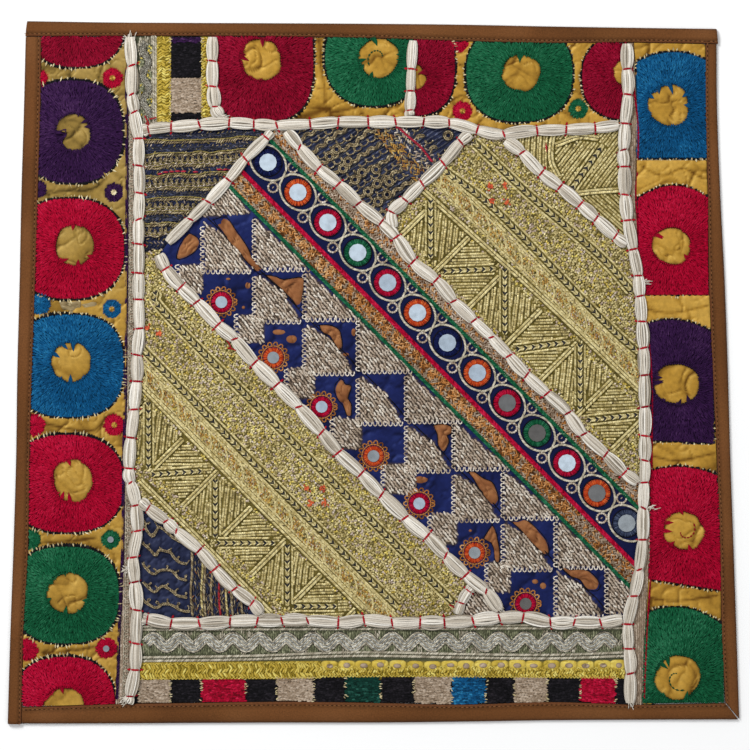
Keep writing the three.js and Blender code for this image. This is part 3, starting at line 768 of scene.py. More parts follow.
def tie_cords(stitching):
    """The red thread round each cord at every tie."""
    draw = dice("ties")
    for name, cord in CORDS.items():
        middle, normal, swell = cord_frame(cord["route"])
        for tie in range(1, len(cord["route"]) - 1):
            place = tie * CORD_STEPS
            lean = draw.normal(0, 0.3)
            side = np.array([math.cos(lean) * normal[place][0] - math.sin(lean) * normal[place][1],
                             math.sin(lean) * normal[place][0] + math.cos(lean) * normal[place][1]])
            turn = np.linspace(-math.pi / 2, math.pi / 2, 7)
            half = swell[place] * cord["width"] / 2
            path = middle[place] + np.outer(np.sin(turn) * half * 1.12, side)
            z = CORD_BASE - 0.1 + (np.cos(turn) * 0.55 + 0.4) * swell[place] * CORD_HEIGHT
            z[0] = z[-1] = SHEET_TOP + 0.9
            colour = tone("red", np.clip(draw.normal(0.45, 0.12), 0.2, 0.7))
            over = (path[1:] - path[:-1]) * 0.25
            stitching.add(path[:-1] - over, path[1:] + over, TIE_WIDTH, 0.55, colour, z[:-1], z[1:])
            for end, way in ((path[-1], side), (path[0], -side)):
                tail = end + way * draw.uniform(0.9, 2.4)
                stitching.add(end[None] - way * 0.8, tail[None], TIE_WIDTH, 0.5, colour,
                              SHEET_TOP + 1.1, SHEET_TOP + 0.5)
    for start, end in LOOSE_REDS:
        path = smooth([start, ((start[0] + end[0]) / 2 + 0.6, (start[1] + end[1]) / 2), end], 3)
        stitching.along(path, 1.0, 0.6, tone("red", 0.5), SHEET_TOP + 1.6)


LOOSE_REDS = [
    # two ends of each loose bit of red thread
    ((43, -132), (50, -136)), ((-83, 14), (-78, 12.5)), ((-130, 146), (-127, 137)),
    ((-127.5, 144), (-123.5, 145)), ((-84, 19), (-81, 13.5)), ((150, 38), (153, 36)),
]


for cord_name, cord_facts in CORDS.items():
    make_cord(cord_name, cord_facts["route"], cord_facts["width"])
ties = Stitching()
tie_cords(ties)
ties.build("red_ties", COTTON, "white_cord")
loose_ends = Stitching()
frays(loose_ends)
loose_ends.build("frayed_ends", CORD_COTTON, "white_cord")


# Binding

BINDING_SECTION = np.array([(0.0, 0.0), (0.0, 0.5), (0.02, 0.78), (0.09, 0.9), (0.15, 0.78), (0.22, 0.92),
                            (0.4, 1.0), (0.62, 1.0), (0.82, 0.95), (0.94, 0.78), (1.0, 0.5), (1.0, 0.0)])
SEAM_PITCH = 2.6
SEAM_PLACE = 0.155
BINDINGS = {
    "binding_top": [
        (-198, 191.3, -197, 200), (-150, 191.5, -150, 199.3), (-100, 191.5, -100, 199),
        (-50, 191.2, -50, 198.8), (0, 190.3, 0, 198.5), (50, 188.6, 50, 198), (100, 187.5, 100, 197),
        (150, 187.8, 150, 196.2), (196, 187, 195.2, 195.6)],
    "binding_right": [
        (189, 186.7, 195.3, 186.7), (189, 150, 195.6, 150), (190.3, 100, 197.5, 100), (191, 50, 200, 50),
        (193, 0, 201.8, 0), (195.5, -50, 203.2, -50), (197.3, -100, 205, -100),
        (198.3, -150, 206.7, -150), (200.2, -187.6, 208.25, -197.2)],
    "binding_bottom": [
        (200.2, -188.2, 207.6, -197.5), (150, -189, 150, -197.7), (100, -187.5, 100, -198),
        (50, -189, 50, -198.8), (0, -188, 0, -199.3), (-50, -187.3, -50, -199.3),
        (-100, -188, -100, -199.5), (-150, -188.8, -150, -199.8), (-200, -190.6, -200.1, -199.9)],
    "binding_left": [
        (-200.4, -200, -208.25, -200), (-199.3, -150, -206.8, -150), (-196.5, -100, -205, -100),
        (-195.7, -50, -203.5, -50), (-194.3, 0, -202.8, 0), (-192.5, 50, -201.5, 50),
        (-191, 100, -200.5, 100), (-189.5, 150, -199, 150), (-189, 190.9, -198, 190.9)],
}


def make_binding(name, stations, seams):
    """A folded strip of cloth: soft outer edge, a sewn line and a small lip along its inner edge."""
    draw = dice(name)
    edges = smooth(stations, 26)
    inner, outer = edges[:, :2], edges[:, 2:]
    run = np.concatenate([[0], np.cumsum(np.hypot(*np.diff(inner, axis=0).T))])
    across, up = BINDING_SECTION.T

    def uneven(stretch, size, seed):
        strip = np.stack([np.repeat(run, len(across)), np.tile(across * stretch, len(run))], axis=1)
        return blend_noise(strip, size, seed)

    pucker = uneven(12, 5, 21).reshape(len(run), len(across))
    wave = 0.25 * blend_noise(np.stack([run, run * 0 + 7], axis=1), 14, 5)
    share = across[None, :] + 0.012 * pucker * (across[None, :] > 0.05) * (across[None, :] < 0.95)
    flat = inner[:, None, :] + (outer - inner)[:, None, :] * share[..., None]
    body = up[None, :] * BINDING_HEIGHT
    inward = np.where((across > 0.05) & (across < 0.98), 1.0, 0.0)
    z = body * (1 - 0.03 * (1 + pucker) * inward) + wave[:, None] * up[None, :] * 0.35 - 0.1 * up[None, :]
    points = np.concatenate([flat, np.clip(z, 0.05, 3.4)[..., None]], axis=-1).reshape(-1, 3)
    faces = grid_faces(1, len(run), len(across), wrap=True)
    mix = 0.5 + 0.13 * uneven(9, 18, 8)
    # painted shade: darker down both sides of the folded strip and in the groove at the sewn line
    shade = np.interp(across, (0, 0.06, 0.12, 0.17, 0.3, 0.8, 1.0), (0.5, 0.95, 0.95, 0.55, 1.0, 0.95, 0.5))
    colours = tone("brown", mix) * np.tile(shade, len(run))[:, None]
    lip = (np.tile(across, len(run)) > 0.01) & (np.tile(across, len(run)) < 0.12)
    colours[lip] = tone("tan", np.full(lip.sum(), 0.3)) * 0.8
    piece = new_object("cloth_" + name, points, faces, colours, BINDING_CLOTH)
    add_caps(piece, len(across), len(run))
    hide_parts(name)
    line = inner + (outer - inner) * SEAM_PLACE
    places, angle = walk(line, SEAM_PITCH)
    seams.lay(places + draw.normal(0, 0.08, places.shape), angle, 1.5, 0.5, 0.3,
              shades("brown", len(places), draw, 0.95), BINDING_HEIGHT * 0.8)
    places, angle = walk(line, SEAM_PITCH, SEAM_PITCH / 2)
    seams.lay(places, angle, 0.9, 0.6, 0.2, shades("brown", len(places), draw, 0.0) * 0.5,
              BINDING_HEIGHT * 0.8)
    return finish_piece(piece)


binding_seams = Stitching()
for binding_name, binding_stations in BINDINGS.items():
    make_binding(binding_name, binding_stations, binding_seams)
binding_seams.build("binding_seams", COTTON, "binding_cloth")


# Medallions

MEDALLIONS = [
    # panel, colour, centre, half sizes, how square it is, hole centre and radius
    ("left", "wine", (-169, 200), (28.5, 27), 2.4, None),
    ("left", "purple", (-171.5, 137), (29.8, 30), 2.4, (-170.5, 137, 10)),
    ("left", "crimson", (-172.8, 70.5), (31.8, 29.3), 2.4, (-170, 72.5, 11.5)),
    ("left", "blue", (-173, 3.8), (31.6, 29.9), 2.6, (-172, 6, 11.5)),
    ("left", "crimson", (-174.5, -63.2), (33.2, 28.5), 2.4, (-171, -61.5, 12)),
    ("left", "green", (-175, -126.6), (31, 28.3), 2.5, (-174, -125.5, 12)),
    ("left", "crimson", (-176, -189), (29.5, 28), 2.4, (-176, -191, 12)),
    ("top_a", "wine", (-64, 178), (30.5, 36), 2.8, (-64, 178, 12)),
    ("top_a", "green", (0, 179.5), (28.3, 28.5), 2.3, (3, 179, 11.5)),
    ("top_b", "wine", (18, 174), (29, 29), 2.7, (23.5, 168.3, 7)),
    ("top_b", "green", (83, 170), (31, 28), 2.4, (84, 170.5, 11)),
    ("top_b", "wine", (146, 168), (28, 25), 2.4, (144, 171, 8)),
]
ARCHES = [
    # colour, left, right, heights of the head at left, middle and right, of the foot at left and right, hole
    ("blue", 149.2, 190, (177, 183, 178), (121.5, 121.5), (168, 152, 12)),
    ("crimson", 150, 191, (99.5, 107, 100), (43.5, 43.5), (169.5, 72, 11)),
    ("purple", 152, 194, (27, 30.5, 23), (-39, -41), (172.5, -6.5, 12.5)),
    ("crimson", 153, 198, (-57, -53, -59), (-117.5, -124.5), (176.5, -90, 11.5)),
    ("green", 152, 200, (-138, -133, -144), (-188.5, -188.5), (173, -173.5, 13)),
]
DISCS = [
    # panel, colour, centre, radius, middle
    ("left", "crimson", (-148.5, 167.5), 5.6, "mustard"), ("left", "purple", (-147.7, 102.5), 5.3, "cream"),
    ("left", "blue", (-148.8, 36.1), 5.3, "mustard"), ("left", "crimson", (-147.4, -29.8), 5.9, "mustard"),
    ("left", "green", (-149.6, -95), 5.2, None), ("left", "crimson", (-151.9, -156.7), 5.9, None),
    ("left", "crimson", (-190.3, 167.5), 4.8, None), ("left", "purple", (-190.8, 104.5), 4.8, None),
    ("left", "blue", (-190, 39), 6, None), ("left", "crimson", (-193.2, -30), 6.3, None),
    ("left", "green", (-195.4, -95), 5.9, None), ("left", "crimson", (-197.1, -157.7), 6.2, None),
    ("top_b", "crimson", (50.6, 148.7), 5.5, "mustard"), ("top_b", "green", (116.5, 150), 5.4, "mustard"),
    ("top_b", "crimson", (48.6, 187.4), 5.2, None),
]
STROKE_LENGTH = 3.1
STROKE_WIDTH = 0.62
RING_STEP = 1.5
RIM_WIDTH = 2.2
RIMS = {
    # spacing and length of the black stitches, shortest and longest pale whip
    "left": (1.5, 2.7, 1.6, 3.8), "right": (3.3, 2.9, 1.0, 2.4), "top_a": (2.2, 2.6, 1.0, 2.4),
    "top_b": (2.2, 2.6, 1.0, 2.4),
}


def superellipse(centre, half, squareness=2.4, count=72):
    angle = np.linspace(0, 2 * math.pi, count, endpoint=False)
    c, s = np.cos(angle), np.sin(angle)
    reach = (np.abs(c) ** squareness + np.abs(s) ** squareness) ** (-1 / squareness)
    return np.stack([centre[0] + half[0] * reach * c, centre[1] + half[1] * reach * s], axis=1)


def arch_outline(left, right, head, foot):
    t = np.linspace(0, 1, 14)[:, None]
    middle = ((left + right) / 2, 2 * head[1] - (head[0] + head[2]) / 2)
    a, b, c = np.array((right, head[2])), np.array(middle), np.array((left, head[0]))
    curve = (1 - t) ** 2 * a + 2 * t * (1 - t) * b + t ** 2 * c
    return np.vstack([[(left, foot[0]), (right, foot[1])], curve])


def reach_to(outline, origin, angle):
    """How far a ray from origin runs to the outline, for each angle."""
    a = np.asarray(outline, float) - origin
    b = np.roll(a, -1, axis=0)
    way = unit(angle)
    best = np.full(len(way), 1e9)
    for start, end in zip(a, b):
        span = end - start
        bottom = way[:, 0] * span[1] - way[:, 1] * span[0]
        bottom = np.where(np.abs(bottom) < 1e-9, 1e-9, bottom)
        distance = (start[0] * span[1] - start[1] * span[0]) / bottom
        share = (start[0] * way[:, 1] - start[1] * way[:, 0]) / bottom
        hit = (distance > 0) & (share >= 0) & (share <= 1)
        best = np.where(hit & (distance < best), distance, best)
    return best


def medallion(stitching, colour, outline, hole, draw):
    """Long and short satin stitches that run outwards from the hole to a whipped black rim."""
    origin = np.array(hole[:2])
    inner = hole[2]
    widest = np.hypot(*(outline - origin).T).max()
    for number, ring in enumerate(np.arange(inner, widest, RING_STEP)):
        count = int(2 * math.pi * (ring + STROKE_LENGTH / 2) / (STROKE_WIDTH * 0.86))
        angle = (np.arange(count) + draw.uniform(-0.35, 0.35, count) + number * 0.5) / count * 2 * math.pi
        limit = reach_to(outline, origin, angle) - RIM_WIDTH * 0.25
        start = ring + draw.uniform(-1.0, 0.4, count)
        start = np.maximum(start, inner - 0.3)
        end = np.minimum(start + STROKE_LENGTH * draw.uniform(0.7, 1.2, count), limit)
        keep = end - start > 0.9
        angle, start, end = angle[keep], start[keep], end[keep]
        way = unit(angle)
        heads = origin + way * start[:, None]
        tails = origin + unit(angle + draw.normal(0, 0.012, len(angle))) * end[:, None]
        ripple = 0.05 * np.sin((ring + 2 * blend_noise(heads, 5, 32)) * 1.4)
        # painted light: strokes on the upper-left side of each medallion lighter, those on the lower right
        # darker; the noise and ripple are the stitching's own tone and pattern
        painted_light_and_tone = 0.08 * np.cos(angle - 2.4) + 0.1 * blend_noise(heads, 9, 31) + ripple
        mix = 0.47 + painted_light_and_tone + draw.normal(0, 0.11, len(angle))
        height = 0.75 - 0.25 * (ring - inner) / max(widest - inner, 1)
        stitching.add(heads, tails, STROKE_WIDTH * draw.uniform(0.85, 1.25, len(angle)), height,
                      tone(colour, mix), SHEET_TOP + 0.1 + draw.uniform(0, 0.25, len(angle)))


def rim(stitching, outline, draw, facts):
    """A black outline with short pale whip stitches over it."""
    pitch, length, shortest, longest = facts
    path = np.vstack([outline, outline[:1]])
    points, angle = walk(path, pitch)
    width = RIM_WIDTH * (1 + 0.35 * blend_noise(points, 9, 35))
    stitching.lay(points, angle + draw.normal(0, 0.12, len(points)), length, width, 0.65,
                  shades("black", len(points), draw, 0.3), SHEET_TOP + 0.2)
    points, angle = walk(path, 2.1, 0.5)
    points = points + unit(angle) * draw.uniform(-0.7, 0.7, (len(points), 1))
    seen = draw.uniform(size=len(points)) < 0.8
    points, angle = points[seen], angle[seen]
    turned = angle + math.pi / 2 + draw.normal(0, 0.35, len(points))
    outward = unit(angle - math.pi / 2) * draw.uniform(0, 1, (len(points), 1))
    stitching.lay(points + outward, turned, draw.uniform(shortest, longest, len(points)), 0.8, 0.45,
                  shades("cream", len(points), draw, 0.3, 0.25), SHEET_TOP + 0.55)


def disc(stitching, colour, centre, radius, middle, draw):
    """A small medallion whose last stitches stand out as spikes."""
    outline = superellipse(centre, (radius, radius), 2, 30)
    medallion(stitching, colour, outline, (*centre, 0.4), draw)
    count = int(radius * 6)
    angle = (np.arange(count) + draw.uniform(-0.3, 0.3, count)) / count * 2 * math.pi
    tips = np.array(centre) + unit(angle) * (radius + draw.uniform(0.1, 1.3, (count, 1)))
    stitching.add(np.array(centre) + unit(angle) * (radius - 1.6), tips, 0.75, 0.6,
                  shades(colour, count, draw, 0.4, 0.15), SHEET_TOP + 0.25)
    if middle:
        count = 9
        angle = np.arange(count) / count * 2 * math.pi
        points = np.array(centre) + unit(angle) * 0.9
        stitching.lay(points, angle, 2.0, 1.0, 0.5, shades(middle, count, draw), SHEET_TOP + 0.8)


BEAN_HOLE = [
    (-181, 138.2), (-178.7, 144.5), (-171.3, 147.6), (-163.9, 144.5), (-161, 136), (-162.2, 129.1),
    (-167.3, 125.9), (-174.1, 126.8), (-177.3, 130.8), (-174.7, 136), (-175.3, 138.2), (-178.1, 137.3),
]


def hole_outline(hole, draw):
    angle = np.linspace(0, 2 * math.pi, 42, endpoint=False)
    lumps = sum(draw.normal(0, 1.1 / k) * np.cos(k * angle + draw.uniform(0, 6)) for k in (2, 3, 4, 5, 7, 9))
    return np.array(hole[:2]) + unit(angle) * (hole[2] + lumps)[:, None]


PUFF_RINGS = 15


def mound(outline, rings):
    """Points on rings from an outline's middle to its edge, and how far up a mound each lies."""
    share = np.linspace(0, 1, rings)
    centre = outline.mean(0)
    flat = (centre + (outline - centre)[None] * share[:, None, None]).reshape(-1, 2)
    return flat, (1 - share ** 3).repeat(len(outline))


def make_mounds(name, parts):
    """One piece of cloth mounds, each given as flat places, heights, colours and its number of rings."""
    points, faces, colours, base = [], [], [], 0
    for flat, z, tint, rings in parts:
        points.append(np.concatenate([flat, z[:, None]], axis=1))
        faces.append(grid_faces(1, rings, len(flat) // rings, wrap=True) + base)
        colours.append(tint)
        base += len(flat)
    piece = new_object(name, np.concatenate(points), np.concatenate(faces), np.concatenate(colours), CLOTH)
    return finish_piece(piece)


def puff(outline, place, draw):
    """The crumpled cloth that shows in a medallion's hole."""
    flat, from_rim = mound(outline, PUFF_RINGS)
    beyond = ~inside(LIMITS[place], flat)
    flat[beyond] = nearest_on(LIMITS[place], flat[beyond])
    high, light = folds_and_painted_light(flat, 1.4, int(draw.integers(1000)))
    z = SHEET_TOP - 0.1 + from_rim * (0.5 + 0.9 * high)
    # painted light and shade on the folds, and painted shade darkening the cloth towards the hole's rim
    colours = mustard_tone(place, flat, light) * (0.45 + 0.55 * np.minimum(from_rim * 2.5, 1))[:, None]
    return flat, z, colours, PUFF_RINGS


def notches(stitching, colour, hole, outline, draw):
    """Wedges of the stitching that cut into the hole, and the dark edge round it."""
    centre = np.array(hole[:2])
    for angle in draw.uniform(0, 2 * math.pi, draw.integers(3, 6)):
        depth = draw.uniform(2.5, 6.0)
        lean = draw.normal(0, 0.18)
        tip = centre + unit(angle + lean)[0] * (hole[2] - depth)
        fan = np.linspace(-0.09, 0.09, 4)
        heads = centre + unit(angle + fan) * (hole[2] + 1.2)
        stitching.add(heads, np.repeat(tip[None], 4, axis=0), 0.75, 0.5,
                      shades(colour, 4, draw, 0.25, 0.1), SHEET_TOP + 0.75)
    path = np.vstack([outline, outline[:1]])
    stitching.along(path, 0.9, 0.6, tone(colour, 0.05) * 0.5, SHEET_TOP + 0.3)
    points, angle = walk(path, 1.1)
    inward = centre - points
    inward /= np.hypot(*inward.T)[:, None]
    ragged = np.clip(1.6 * blend_noise(points, 2.6, 36), 0, 1)[:, None]
    reach = ragged * draw.uniform(0.8, 2.2, (len(points), 1))
    stitching.add(points - inward * 0.9, points + inward * reach, 0.85, 0.55,
                  shades(colour, len(points), draw, 0.35, 0.12), SHEET_TOP + 0.7)


def curl(stitching, hole, start, colour):
    """A curled line of thread in a hole."""
    turn = np.radians(np.linspace(start, start + 200, 10))
    path = np.array(hole[:2]) + unit(turn) * hole[2] * np.linspace(0.18, 0.62, 10)[:, None]
    stitching.along(path, 0.8, 0.45, tone(colour, 0.15), SHEET_TOP + 1.2)


BORDER_NODES = {"left": "panel_left_border", "right": "panel_right_border", "top_a": "panel_top_suns_a",
                "top_b": "panel_top_suns_b"}
LIMITS = {place: outline_of(node) for place, node in BORDER_NODES.items()}
OLD_CLOTH = (10, 90)


def mustard_tone(place, points, light):
    """Mustard cloth, which is duller towards the head of the left border."""
    # the tone follows the painted light and shade of the folds
    bright = tone("mustard", light)
    if place != "left":
        return bright
    old = np.clip((points[:, 1] - OLD_CLOTH[0]) / (OLD_CLOTH[1] - OLD_CLOTH[0]), 0.25, 1)[:, None]
    return bright + (tone("oldmustard", light) - bright) * old


medallion_shapes = {place: [] for place in LIMITS}
holes = []
work = {place: Stitching(limits, seeds=True) for place, limits in LIMITS.items()}
for index, (place, colour, centre, half, squareness, hole) in enumerate(MEDALLIONS):
    draw = dice(f"medallion {index}")
    shape = superellipse(centre, half, squareness)
    medallion_shapes[place].append((shape, colour))
    medallion(work[place], colour, shape, hole or (*centre, 1.0), draw)
    rim(work[place], shape, draw, RIMS[place])
    if hole:
        holes.append((place, colour, hole))
for index, (colour, left, right, head, foot, hole) in enumerate(ARCHES):
    draw = dice(f"arch {index}")
    shape = arch_outline(left, right, head, foot)
    medallion_shapes["right"].append((shape, colour))
    medallion(work["right"], colour, shape, hole, draw)
    rim(work["right"], shape, draw, RIMS["right"])
    holes.append(("right", colour, hole))
for index, (place, colour, centre, radius, middle) in enumerate(DISCS):
    draw = dice(f"disc {index}")
    medallion_shapes[place].append((superellipse(centre, (radius, radius), 2, 30), colour))
    disc(work[place], colour, centre, radius, middle, draw)

puff_parts = []
for index, (place, colour, hole) in enumerate(holes):
    draw = dice(f"hole {index}")
    bean = colour == "purple" and place == "left"
    edge = smooth(BEAN_HOLE, 4, closed=True) if bean else hole_outline(hole, draw)
    puff_parts.append(puff(edge, place, draw))
    notches(work[place], colour, hole, edge, draw)
curl(work["right"], (176.5, -90, 11.5), 200, "crimson")
curl(work["right"], (173, -173.5, 13), 100, "green")
curl(work["top_a"], (3, 179, 11.5), 20, "green")
for place, stitching in work.items():
    stitching.build(f"satin_{place}", SILK, "mustard_cloth")
make_mounds("cloth_puffs", puff_parts)


# Mustard ground

FOLD_SCALES = {"left": 1.1, "right": 1.6, "top_a": 1.2, "top_b": 1.2}
CREASES = {
    # half width and route of each deep crease
    "top_a": [(0.9, [(-31, 189), (-30, 180), (-29.5, 172.4), (-27.8, 162), (-27.2, 150.6)]),
              (2.4, [(-44, 144), (-35.2, 146.8), (-28, 150), (-23.8, 146.8), (-18, 145.4)]),
              (0.6, [(-34.3, 162.5), (-27.6, 161), (-21.5, 162.9)])],
    "top_b": [(0.8, [(35, 146), (40, 151), (46, 156), (53, 158)]),
              (0.7, [(44, 145), (52, 156.5), (60, 152)]),
              (0.8, [(58, 140), (64, 146), (72, 144)])],
    "left": [(0.9, [(-190, 100), (-176, 103.5), (-160, 104), (-152, 111)]),
             (0.8, [(-176, 37), (-158, 38.5)]),
             (0.8, [(-190, -28), (-176, -31.5), (-160, -33), (-150, -24)]),
             (0.8, [(-186, -97), (-170, -95.5), (-158, -94)]),
             (0.8, [(-188, -160), (-170, -158), (-159, -156)])],
    "right": [(0.7, [(152, 118), (164, 112), (176, 116), (188, 110)]),
              (0.7, [(155, 36), (170, 34), (190, 38)]), (0.7, [(157, -47), (172, -50), (194, -46)]),
              (0.7, [(155, -128), (172, -130), (196, -127)])],
}


def crease(place, points):
    """How deep in a crease each point lies, from 0 to 1."""
    depth = np.zeros(len(points))
    for width, route in CREASES[place]:
        line = walk(smooth(route, 6), 0.8)[0]
        gap = np.hypot(*(points[:, None, :] - line[None]).transpose(2, 0, 1)).min(1)
        depth = np.maximum(depth, np.exp(-(gap / width) ** 2))
    return depth


def mustard_height(place):
    def height(points):
        bare = np.ones(len(points))
        for outline, colour in medallion_shapes[place]:
            bare[inside(outline, points)] = 0
        high = folds(points, FOLD_SCALES[place]) - 0.4 * crease(place, points)
        return SHEET_TOP - 0.5 + bare * 1.5 * np.clip(high, 0, 1)
    return height


def mustard_colour(place):
    def colour_at(points):
        high, light = folds_and_painted_light(points, FOLD_SCALES[place])
        # painted light of the folds plus a slow random tone, with painted shade deep in each crease
        light = light + 0.1 * blend_noise(points, 22, 44) - 0.45 * crease(place, points)
        result = mustard_tone(place, points, light)
        for outline, colour in medallion_shapes[place]:
            under = inside(outline, points)
            result[under] = tone(colour, np.full(under.sum(), 0.25))
        return result
    return colour_at


for place, node in BORDER_NODES.items():
    make_sheet(node, CLOTH, mustard_colour(place), mustard_height(place), 1.1)


# Mirrors

# Tints of the mirrors, from bright to nearly black: partly the old glass's own tarnish, partly a painted
# reflection of the bright sky they show
GLASS_AND_REFLECTION_TINTS = {"sky": "c8d8e6", "mist": "b0c0d0", "steel": "90989e", "lead": "68696a", "dark": "585654"}
MIRROR_TINTS = {
    # each kind's mirrors in order, from the upper left to the lower right
    "band": ["sky"] * 4 + ["mist", "sky", "mist", "mist", "lead", "dark", "sky", "lead", "steel"],
    "flower": ["mist", "steel"] * 3 + ["dark"],
    "dot": ["steel"] * 2,
}
GLASS_ROUGHNESS = 0.22

for kind, tints in MIRROR_TINTS.items():
    for number, tint in enumerate(tints):
        mirror_name = f"mirror_{kind}_{number:02d}" if kind == "band" else f"mirror_{kind}_{number}"
        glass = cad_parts[mirror_name]
        glass.data.materials.clear()
        glass.data.materials.append(mirror_material("glass_" + mirror_name, GLASS_AND_REFLECTION_TINTS[tint], GLASS_ROUGHNESS))


# Plain grounds of the other panels

def ground(node, name, middle=0.4):
    """The plain sheet under a densely stitched panel."""
    def colour_at(points):
        return tone(name, middle + 0.2 * blend_noise(points, 4, 1))
    make_sheet(node, STITCHED_GROUND, colour_at, flat_height, 2.4)


def dusk_colour(points):
    # painted light and shade of the folds as the tone of the dusk cloth
    return tone("dusk", folds_and_painted_light(points, 0.55, 90)[1])


def dusk_height(points):
    return SHEET_TOP - 0.6 + 0.5 * folds(points, 0.55, 90)


def banded(axis, limits, names):
    """Ground colours that change at limits along an axis."""
    def colour(points):
        place = np.searchsorted(limits, points[:, axis])
        result = np.zeros((len(points), 3))
        for number, name in enumerate(names):
            result[place == number] = TONES[name][0]
        return result
    return colour


bottom_ground = banded(1, (-173.5, -164), ("black", "yellow", "sage"))
top_ground = banded(0, (-123.3, -116, -97.2), ("sage", "yellow", "black", "yellow"))
ground("panel_left_selvedge", "beige")
ground("panel_right_selvedge", "beige")
make_sheet("panel_top_checks", STITCHED_GROUND, top_ground, flat_height, 2)
ground("panel_gold_right", "olive", 0.12)
ground("panel_gold_corner", "olive", 0.12)
ground("panel_gold_left", "olive", 0.12)
for node in ("panel_scroll_top_left", "panel_scroll_top_mid", "panel_scroll_lower_left"):
    make_sheet(node, CLOTH, dusk_colour, dusk_height)
ground("panel_silver_corner", "taupe", 0.3)
make_sheet("panel_bottom_band", STITCHED_GROUND, bottom_ground, flat_height, 2)

# Diagonal bands: t runs up across the bands, s along them to the lower right

ROOT2 = math.sqrt(2)
DOWN_RIGHT = -math.pi / 4


def diagonal(t, s):
    return ((t + s) / ROOT2, (t - s) / ROOT2)


def diagonal_box(t0, t1, s0, s1):
    return [diagonal(t0, s0), diagonal(t0, s1), diagonal(t1, s1), diagonal(t1, s0)]


def offset(path, distance):
    """A path moved sideways, to the left of its direction."""
    p = np.asarray(path, float)
    step = np.gradient(p, axis=0)
    step /= np.maximum(np.hypot(step[:, 0], step[:, 1]), 1e-9)[:, None]
    return p + distance * np.stack([-step[:, 1], step[:, 0]], axis=1)


def fine(path, pitch=1.0):
    """The same path with a point every pitch."""
    return walk(path, pitch)[0]


COUCHED_HEIGHT = 0.7
CHAIN_PITCH = 4.4
STRIPE_PITCH = 3.4


def couched(stitching, path, width, colour, draw, count=1, gap=None, lift=0.0, middle=0.6, spread=0.2,
            slant=0.6):
    """Twisted cords laid side by side along a path, with a dark edge."""
    gap = gap or width
    for number in range(count):
        side = (number - (count - 1) / 2) * gap
        way = slant if number % 2 == 0 else -slant
        stitching.twist(offset(fine(path), side), width, colour, draw, SHEET_TOP + lift, COUCHED_HEIGHT,
                        way, middle=middle, spread=spread)


def chain(stitching, path, draw):
    """Black V stitches over pale cords, with a dark line and a pale cord at each side."""
    couched(stitching, path, 1.3, "gold", draw, 2, 1.25, 0.1, middle=0.7)
    points, angle = walk(path, CHAIN_PITCH)
    way, side = unit(angle), unit(angle + math.pi / 2)
    for sign in (1, -1):
        arm = points - way * 1.5 + side * sign * 1.35 + draw.normal(0, 0.12, points.shape)
        tip = points + way * 0.8
        stitching.add(arm, tip, 1.0, 0.5, shades("black", len(points), draw, 0.3), SHEET_TOP + 0.9)
        lip = points + way * 1.5 + side * sign * 0.3
        stitching.add(lip, points - way * 0.7 + side * sign * 1.6, 0.6, 0.5,
                      shades("gold", len(points), draw, 0.95), SHEET_TOP + 0.8)
        couched(stitching, offset(fine(path), 2.75 * sign), 1.3, "gold", draw, lift=0.1, middle=0.72)


def stripes(stitching, outline, angle, draw):
    """Pairs of couched gold cords side by side, with a dark line between the pairs."""
    points = rows_in(outline, angle, STRIPE_PITCH, 1.05, draw, 0.06)[0]
    up = unit(angle + math.pi / 2)[0]
    waver = 0.3 * blend_noise(points, 12, 7)[:, None] * up
    for sign in (1, -1):
        mix = draw.normal(0.6, 0.2, len(points)) + 0.15 * blend_noise(points, 16, 9)
        stitching.lay(points + up * 0.72 * sign + waver, angle + 0.55 * sign, 1.7, 1.2, 0.75,
                      tone("gold", mix))


SPECKLE = (("gold", 0.6), ("yellow", 0.12), ("pinkish", 0.18), ("olive", 0.1))


def speckle(stitching, outline, draw, kinds=SPECKLE, angle=DOWN_RIGHT, pitch=1.4, row_pitch=1.1, length=1.9,
            width=1.05, middle=0.58):
    """A dense field of short crossed stitches of mixed thread."""
    points, row = rows_in(outline, angle, row_pitch, pitch, draw, 0.22)
    names = [name for name, share in kinds]
    pick = draw.choice(len(names), len(points), p=np.array([share for name, share in kinds]))
    patch = blend_noise(points, 13, 17)
    for number, name in enumerate(names):
        chosen = pick == number
        mix = draw.normal(middle, 0.22, chosen.sum()) + 0.12 * patch[chosen]
        turned = angle + np.where(row[chosen] % 2 == 0, 0.75, -0.75) + draw.normal(0, 0.3, chosen.sum())
        stitching.lay(points[chosen], turned, length, width, draw.uniform(0.45, 0.9, chosen.sum()),
                      tone(name, mix), SHEET_TOP)


def loops_along(stitching, path, colour, draw, pitch=2.9, reach=2.5, width=0.95, middle=0.75):
    """Small thread loops that stand out to the left of a path."""
    points, angle = walk(path, pitch, 0.6)
    way, side = unit(angle), unit(angle + math.pi / 2)
    turn = np.linspace(0, math.pi, 6)
    arc = points[:, None, :] + way[:, None, :] * (-np.cos(turn) * pitch * 0.4)[None, :, None]
    arc = arc + side[:, None, :] * (np.sin(turn) ** 0.8 * reach)[None, :, None]
    colours = np.repeat(shades(colour, len(points), draw, middle, 0.2), 5, axis=0)
    starts, ends = arc[:, :-1].reshape(-1, 2), arc[:, 1:].reshape(-1, 2)
    stitching.add(starts, ends, width, 0.6, colours, SHEET_TOP + 0.2)


RING_PITCH = 0.85


def ring(stitching, centre, inner, outer, colour, draw, middle=0.6):
    """Closely worked stitches round a circle."""
    count = int(2 * math.pi * outer / RING_PITCH)
    angle = (np.arange(count) + draw.uniform(-0.2, 0.2, count)) / count * 2 * math.pi
    way = unit(angle)
    stitching.add(centre + way * inner, centre + unit(angle + 0.05) * outer, RING_PITCH * 1.1, 1.0,
                  shades(colour, count, draw, middle, 0.16), SHEET_TOP + 0.3)


def circle(centre, radius, count=24):
    return np.array(centre) + unit(np.linspace(0, 2 * math.pi, count + 1)) * radius


CURL_STEPS = 12


